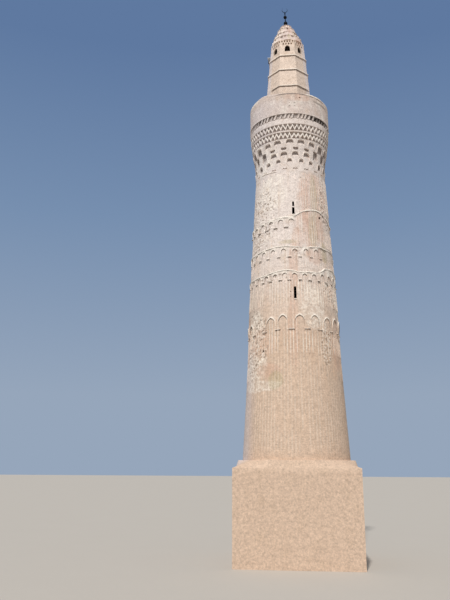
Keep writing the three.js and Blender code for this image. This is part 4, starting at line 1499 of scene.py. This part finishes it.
def lantern_ledge(foot, worn, height=0.085, proud=0.062):
    """A thin ledge with a point on every corner; worn stretches keep little of it."""
    steps = 4
    corners = (np.arange(8) + 0.5) * math.tau / 8
    angles = np.concatenate([a + np.arange(steps) * math.tau / 8 / steps for a in corners])
    outlines = []
    for angle in angles:
        lift = rng.normal(0, 0.004)
        lost = any(apart(math.degrees(angle), middle) < reach for middle, reach in worn)
        out = proud * (LOST_SHARE if lost else 1.0)
        ledge = [(-0.04, 0.0), (out - 0.006, 0.0), (out, 0.012), (out - 0.005, height - 0.02),
                 (out - 0.025, height), (-0.04, height + 0.006)]
        outlines.append([(float(octagon(angle, lantern_flat(foot + z) + reach)), foot + z + lift)
                         for reach, z in ledge])
    # Painted shadow on the ledge's underside, painted highlight on its face and top.
    return strip("ledge", angles, outlines, hollow=[1.0, -0.1, -0.7, -0.8, -0.8, -0.4])


LEDGE_GAPS = {1: [(-74, 26), (80, 18)]}
rng = np.random.default_rng(7)
for number, foot in enumerate(LEDGES, 1):
    ledge = lantern_ledge(foot, LEDGE_GAPS.get(number, []))
    finish_piece(joined(f"lantern_ledge_{number}", [ledge]), CARVED,
                 [f"lantern_string_course_{number}"])

# %% [markdown]
# ## The cap
#
# Tiers of small scooped niches step in to a round knob. Each tier is a ring whose radius dips in a row
# of hollows, and each next tier is turned by half a hollow, so they lie like scales. A hollow gets deeper
# towards the lip of its tier, which throws the shadow. How deep a point lies is kept as an attribute, and
# the plaster takes painted shade there and painted highlight on the lips. It is hollow, like the solid
# it stands for.

# %% Scalloped cap
# Foot, lip, radius at the foot and at the lip, and number of hollows of each tier.
TIERS = [
    (31.60, 32.08, 1.08, 0.91, 24), (32.08, 32.47, 0.87, 0.735, 24), (32.47, 32.92, 0.68, 0.53, 20),
    (32.92, 33.22, 0.45, 0.36, 16),
]
KNOB = [(0.27, 33.22), (0.255, 33.26), (0.21, 33.31), (0.13, 33.36), (0.05, 33.40)]
INSIDE = [(0.0, CAP_TOP), (0.0, 32.5), (0.2, 32.5), (0.62, LANTERN_TOP)]
TIER_SHARES = (0.0, 0.15, 0.4, 0.65, 0.82, 0.9, 0.98)
HOLLOW, HOLLOW_TOP = 0.07, 0.82
LIP_PROUD, LIP_FOOT, LIP_TOP, LIP_BACK = 0.034, 0.85, 0.95, 0.02
CAP_COLUMNS = 240
TOP_LEAN = 0.042


def cap():
    """All tiers and the knob as one closed ring; the hollows of each tier differ in depth."""
    angles = even_angles(CAP_COLUMNS)
    levels, radii, shade = [], [], []
    for number, (low, high, wide, narrow, lobes) in enumerate(TIERS):
        turn = angles * lobes / 2 + number * math.pi / 2
        cell = np.floor(turn / math.pi).astype(int)
        sizes = np.clip(rng.normal(1.0, 0.45, lobes + 2), 0.2, 1.6)[cell % lobes]
        reach = np.clip(rng.normal(0.7, 0.6, CAP_COLUMNS // 5), 0, 1.6).repeat(5)
        for share in TIER_SHARES:
            depth = HOLLOW * (share / HOLLOW_TOP) ** 0.7 if share <= HOLLOW_TOP else 0.0
            dip = depth * sizes * np.abs(np.sin(turn)) ** 0.6
            base = wide + (narrow - wide) * share + (LIP_PROUD if share > LIP_FOOT else 0.0) * wide * reach
            levels.append(low + (high - low) * share + rng.normal(0, 0.006, CAP_COLUMNS))
            radii.append(base - dip * wide ** 0.5 - (LIP_BACK if share > LIP_TOP else 0.0)
                         + rng.normal(0, 0.004, CAP_COLUMNS))
            # Painted shade in the hollows, and painted highlight on the lips.
            lip = 0.6 * reach if share > LIP_FOOT else 0.0
            shade.append(dip / HOLLOW * 0.55 - lip)
    for radius, level in KNOB + INSIDE:
        levels.append(np.full(CAP_COLUMNS, level))
        radii.append(np.full(CAP_COLUMNS, radius))
        shade.append(np.zeros(CAP_COLUMNS))
    grid = on_wall(angles[:, None], np.stack(radii, 1), np.stack(levels, 1))
    return leaning(weld(ring_object("cap_scallops", grid, hollow=np.stack(shade, 1))))


def leaning(obj):
    """The cap and its finial lean a little to the left."""
    for vertex in obj.data.vertices:
        vertex.co.x -= TOP_LEAN * max(vertex.co.z - LANTERN_TOP, 0.0)
    return obj


finish_piece(cap(), CARVED, ["cap"], 32)

# %% [markdown]
# ## Metalwork
#
# The finial is turned work, balls on a rod with a crescent on top, so a profile spun around the axis
# gives the balls and a bent, tapering bar gives the crescent. The lamp on the lantern's left face is a
# small pressed housing under a pale hood.

# %% Metal and enamel
LAMP_HOOD = (30.72, 30.75)


def dark_metal():
    material, plan = shader_plan("dark_metal")
    place = plan.node("ShaderNodeTexCoord", {}, {}, "Object")
    spots = plan.noise(place, 22.0, 6.0, 0.6)
    colour = plan.mix(spots.step(0.52, 0.7) * 0.6, paint(16, 17, 26), paint(48, 38, 34))
    close_shader(plan, colour, 0.4 + 0.4 * spots, spots, 0.002, Metallic=0.3, Specular_IOR_Level=0.15)
    return material


def lamp_enamel():
    material, plan = shader_plan("lamp_enamel")
    place = plan.node("ShaderNodeTexCoord", {}, {}, "Object")
    axes = plan.node("ShaderNodeSeparateXYZ", {}, {0: place})
    grime = plan.noise(place, 16.0, 5.0, 0.6)
    top = axes.out("Z").step(*LAMP_HOOD)
    colour = plan.mix(top, paint(66, 66, 72), paint(206, 206, 206))
    colour = plan.mix(grime.step(0.45, 0.75) * 0.5, colour, paint(70, 62, 54))
    close_shader(plan, colour, 0.35 + 0.3 * grime, grime, 0.002, Metallic=0.15)
    return material


DARK_METAL = dark_metal()
ENAMEL = lamp_enamel()
print("metal and enamel ready")

# %% Finial
def ball(level, radius, neck):
    """Profile of a turned ball, never thinner than the rod that it sits on."""
    turn = np.linspace(-0.42, 0.42, 13) * math.pi
    return [(max(radius * math.cos(t), neck), level + radius * math.sin(t)) for t in turn]


def crescent(level_low, radius, bite, rise, thick):
    """Bent bar, thick at its foot and pointed at its tips."""
    centre = level_low + radius
    tip = math.acos((radius ** 2 + rise ** 2 - bite ** 2) / (2 * rise * radius))
    inner_tip = math.acos((radius * math.cos(tip) - rise) / bite)
    points, steps = [], 24
    for k in range(steps + 1):
        share = 2 * k / steps - 1
        outer = math.pi + share * (math.pi - tip)
        inner = math.pi + share * (math.pi - inner_tip)
        half = thick / 2 * (0.35 + 0.65 * (1 - share * share))
        a = (-radius * math.sin(outer), centre + radius * math.cos(outer))
        b = (-bite * math.sin(inner), centre + rise + bite * math.cos(inner))
        m = ((a[0] + b[0]) / 2, (a[1] + b[1]) / 2)
        points += [(a[0], 0.0, a[1]), (m[0], -half, m[1]), (b[0], 0.0, b[1]), (m[0], half, m[1])]
    faces = []
    for k in range(steps):
        for i in range(4):
            j = (i + 1) % 4
            faces.append((4 * k + i, 4 * k + j, 4 * k + 4 + j, 4 * k + 4 + i))
    return weld(new_object("crescent", points, faces))


ROD = 0.022
BALLS = [(33.58, 0.13), (34.05, 0.112), (34.327, 0.05)]
MOON_FOOT = 34.41
spindle_line = [(0.0, CAP_TOP - 0.03), (0.05, CAP_TOP - 0.03), (0.045, CAP_TOP + 0.03),
                (ROD, CAP_TOP + 0.05)]
for level, radius in BALLS:
    spindle_line += ball(level, radius, ROD)
spindle_line += [(ROD * 0.7, 34.42), (0.0, 34.43)]
spindle = turned("spindle", spindle_line, 32)
moon = crescent(MOON_FOOT, 0.185, 0.166, 0.026, 0.04)
finish_piece(leaning(joined("finial_spindle", [spindle, moon])), DARK_METAL, ["finial"], 40)

# %% Lamp
LAMP_DEPTH, LAMP_BEVEL, LAMP_INSET = 0.128, 0.014, 0.02
HOOD_THICK = 0.045


def lamp():
    """A housing and the hood over it, in the box of the lamp's solid."""
    low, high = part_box("wall_lamp")
    shape = bmesh.new()
    wall, upper_wall = float(lantern_flat(low.z)), float(lantern_flat(high.z))
    left, right = low.y + LAMP_INSET, high.y - LAMP_INSET
    for x0, x1, y0, y1, z0, z1 in (
            (-wall - LAMP_DEPTH, -wall + 0.01, left, right, low.z, high.z - 0.05),
            (low.x, -upper_wall + 0.005, low.y, high.y, high.z - HOOD_THICK, high.z)):
        made = bmesh.ops.create_cube(shape, size=1.0)["verts"]
        for vertex in made:
            vertex.co.x = x0 if vertex.co.x < 0 else x1
            vertex.co.y = y0 if vertex.co.y < 0 else y1
            vertex.co.z = z0 if vertex.co.z < 0 else z1
    mesh = bpy.data.meshes.new("lamp_housing")
    shape.to_mesh(mesh)
    shape.free()
    obj = bpy.data.objects.new("lamp_housing", mesh)
    bpy.context.scene.collection.objects.link(obj)
    soft = obj.modifiers.new("soft", "BEVEL")
    soft.width, soft.segments = LAMP_BEVEL, 3
    return settled(obj)


finish_piece(lamp(), ENAMEL, ["wall_lamp"])

# %% [markdown]
# ## Base and floors
#
# The square base is plain: thick walls around one room, with a pointed doorway at the back, and a top
# that slopes from the square to an octagon. The floors keep their solids and only take a material.

# %% Base walls and roof
SIDE_COLUMNS = 66
BASE_COLUMN = 0.1
ROOF_COLUMNS = 192


def base_walls():
    """Square walls: their columns are evenly spaced along each side, not by angle."""
    side = np.arctan(np.linspace(-1, 1, SIDE_COLUMNS, endpoint=False))
    angles = np.concatenate([side + k * math.pi / 2 for k in range(4)])
    along = np.arange(len(angles))[:, None] * BASE_COLUMN
    return coursed_wall("base_walls", angles, along, course_levels(0.0, BASE_WALL_TOP),
                        lambda z: square(angles, BASE_HALF), lambda z: square(angles, ROOM_HALF))


def base_roof():
    """Slab that slopes from the square walls to an octagon around the shaft's foot."""
    angles = even_angles(ROOF_COLUMNS)
    outer = square(angles, BASE_HALF)
    top = octagon(angles, BASE_TOP_FLAT)
    well = octagon(angles, WELL_FLATS[0])
    slope = outer + (top - outer) * 0.5 - 0.01
    radii = np.stack([outer, outer, outer - 0.015, slope, top + 0.01, top - 0.02, well, well], axis=1)
    levels = [BASE_WALL_TOP, BASE_EDGE_TOP - 0.03, BASE_EDGE_TOP, (BASE_EDGE_TOP + SHAFT_FOOT) / 2,
              SHAFT_FOOT - 0.015, SHAFT_FOOT, SHAFT_FOOT, BASE_WALL_TOP]
    skin = [0, 0, 0.6, 1, 0.6, 0, 0, 0]
    grid = on_wall(angles[:, None], radii, np.array(levels)[None, :])
    return ring_object("base_roof_slope", grid, skin=skin, along=angles[:, None] * 3)


base = base_walls()
grown(base, WEATHERING, LIME_WASH, Joint_Depth=0.005, Brick_Lift=0.004, Sag=0.03, Chip_Depth=0.0, Seed=6.0)
entry = prism("entry", arch_outline(0.45, -0.1, 1.95, 2.5), lambda z: 1.7, lambda z: 3.6)
grown(entry, RING, LIME_WASH, Count=1, Phase=0.5)
carved(base, entry)
finish_piece(base, LIME_WASH,
             ["base_wall_front", "base_wall_left", "base_wall_right", "base_wall_back_left",
              "base_wall_back_right", "base_arch_over_doorway"], 45)
roof = grown(base_roof(), WEATHERING, LIME_WASH, Joint_Depth=0.0, Brick_Lift=0.0, Sag=0.02, Chip_Depth=0.0,
             Seed=6.0)
finish_piece(roof, LIME_WASH, ["base_roof"], 40)

# %% Trodden floors
def trodden_floor():
    material, plan = shader_plan("trodden_floor")
    place = plan.node("ShaderNodeTexCoord", {}, {}, "Object")
    dust = plan.noise(place, 2.2, 7.0, 0.6)
    grit = plan.noise(place, 45.0, 3.0, 0.7)
    colour = plan.mix(dust.step(0.35, 0.65), paint(150, 128, 104), paint(188, 168, 142))
    colour = plan.mix(grit.step(0.6, 0.75) * 0.4, colour, paint(108, 92, 76))
    close_shader(plan, colour, 0.85 + 0.1 * dust, dust + grit * 0.4, 0.01)
    return material


TRODDEN = trodden_floor()
for node in ("ground_floor", "gallery_floor"):
    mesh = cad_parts[node].data
    mesh.materials.clear()
    mesh.materials.append(TRODDEN)
print("floors dressed")

# %% [markdown]
# ## Light, ground and camera
#
# One sun, a little left of the camera and high, gives the short shadows under the ledges, and an even
# world fills them. The ground is a plain pale sheet. The camera stands 38 m away at 5 m height and looks
# up by 14 degrees, which gives the converging edges of the real view.

# %% Sun and sky
SUN_HEIGHT, SUN_TURN, SUN_SIZE, SUN_STRENGTH = 51, -9, 3, 2.7
SUN_COLOUR, FILL_COLOUR, FILL_STRENGTH = (1.0, 0.965, 0.92), (0.86, 0.92, 1.0, 1.0), 0.36


def sun_and_sky():
    sun = bpy.data.objects.new("sun", bpy.data.lights.new("sun", "SUN"))
    sun.data.energy = SUN_STRENGTH
    sun.data.angle = math.radians(SUN_SIZE)
    sun.data.color = SUN_COLOUR
    sun.rotation_euler = (math.radians(90 - SUN_HEIGHT), 0.0, math.radians(SUN_TURN))
    bpy.context.scene.collection.objects.link(sun)

    world = bpy.data.worlds.new("studio")
    world.use_nodes = True
    world.node_tree.nodes.clear()
    plan = Plan(world.node_tree)
    seen = plan.node("ShaderNodeLightPath", {}, {}, "Is Camera Ray")
    fill = plan.node("ShaderNodeBackground", {}, {"Color": FILL_COLOUR, "Strength": FILL_STRENGTH})
    direction = plan.node("ShaderNodeTexCoord", {}, {}, "Generated")
    height = plan.node("ShaderNodeSeparateXYZ", {}, {0: direction})
    sky = plan.node("ShaderNodeValToRGB", {"stops": [
        (0.10, paint(150, 166, 187)), (0.36, paint(119, 143, 175)), (0.575, paint(95, 121, 160)),
    ]}, {"Fac": height.out("Z")}, "Color")
    backdrop = plan.node("ShaderNodeBackground", {}, {"Color": sky, "Strength": 1.0})
    both = plan.node("ShaderNodeMixShader", {}, {0: seen, 1: fill, 2: backdrop})
    plan.node("ShaderNodeOutputWorld", {}, {"Surface": both})
    bpy.context.scene.world = world


sun_and_sky()
print("sun", SUN_HEIGHT, "degrees high")

# %% Ground
GROUND_REACH, GROUND_LEVEL = 300.0, -0.002


def ground_sheet():
    corners = [(-1, -1), (1, -1), (1, 1), (-1, 1)]
    ground = new_object("ground", [(x * GROUND_REACH, y * GROUND_REACH, GROUND_LEVEL) for x, y in corners],
                        [(0, 1, 2, 3)])
    material, plan = shader_plan("pale_ground")
    place = plan.node("ShaderNodeTexCoord", {}, {}, "Object")
    colour = plan.mix(plan.noise(place, 0.3) * 0.3, paint(196, 190, 182), paint(186, 180, 172))
    close_shader(plan, colour, 0.9, plan.noise(place, 3.0), 0.01)
    ground.data.materials.append(material)


ground_sheet()
print("ground", 2 * GROUND_REACH, "m wide")

# %% Camera
CAMERA_PLACE = (0.0, -38.0, 5.0)
CAMERA_PAN, CAMERA_TILT, CAMERA_ROLL = 6.1, 14.195, 0.25
FOCAL_LENGTH, SENSOR_WIDTH = 39.3, 36.0


def rotation(degrees, axis):
    return Matrix.Rotation(math.radians(degrees), 4, axis)


def set_camera():
    view = bpy.data.objects.new("camera", bpy.data.cameras.new("camera"))
    view.data.lens = FOCAL_LENGTH
    view.data.sensor_width = SENSOR_WIDTH
    view.data.clip_end = 1000.0
    view.location = CAMERA_PLACE
    turn = rotation(CAMERA_PAN, "Z") @ rotation(90 + CAMERA_TILT, "X")
    view.rotation_euler = (turn @ rotation(CAMERA_ROLL, "Z")).to_euler()
    bpy.context.scene.collection.objects.link(view)
    bpy.context.scene.camera = view


set_camera()
bpy.context.scene.view_settings.view_transform = "Standard"
print("camera", -CAMERA_PLACE[1], "m away")
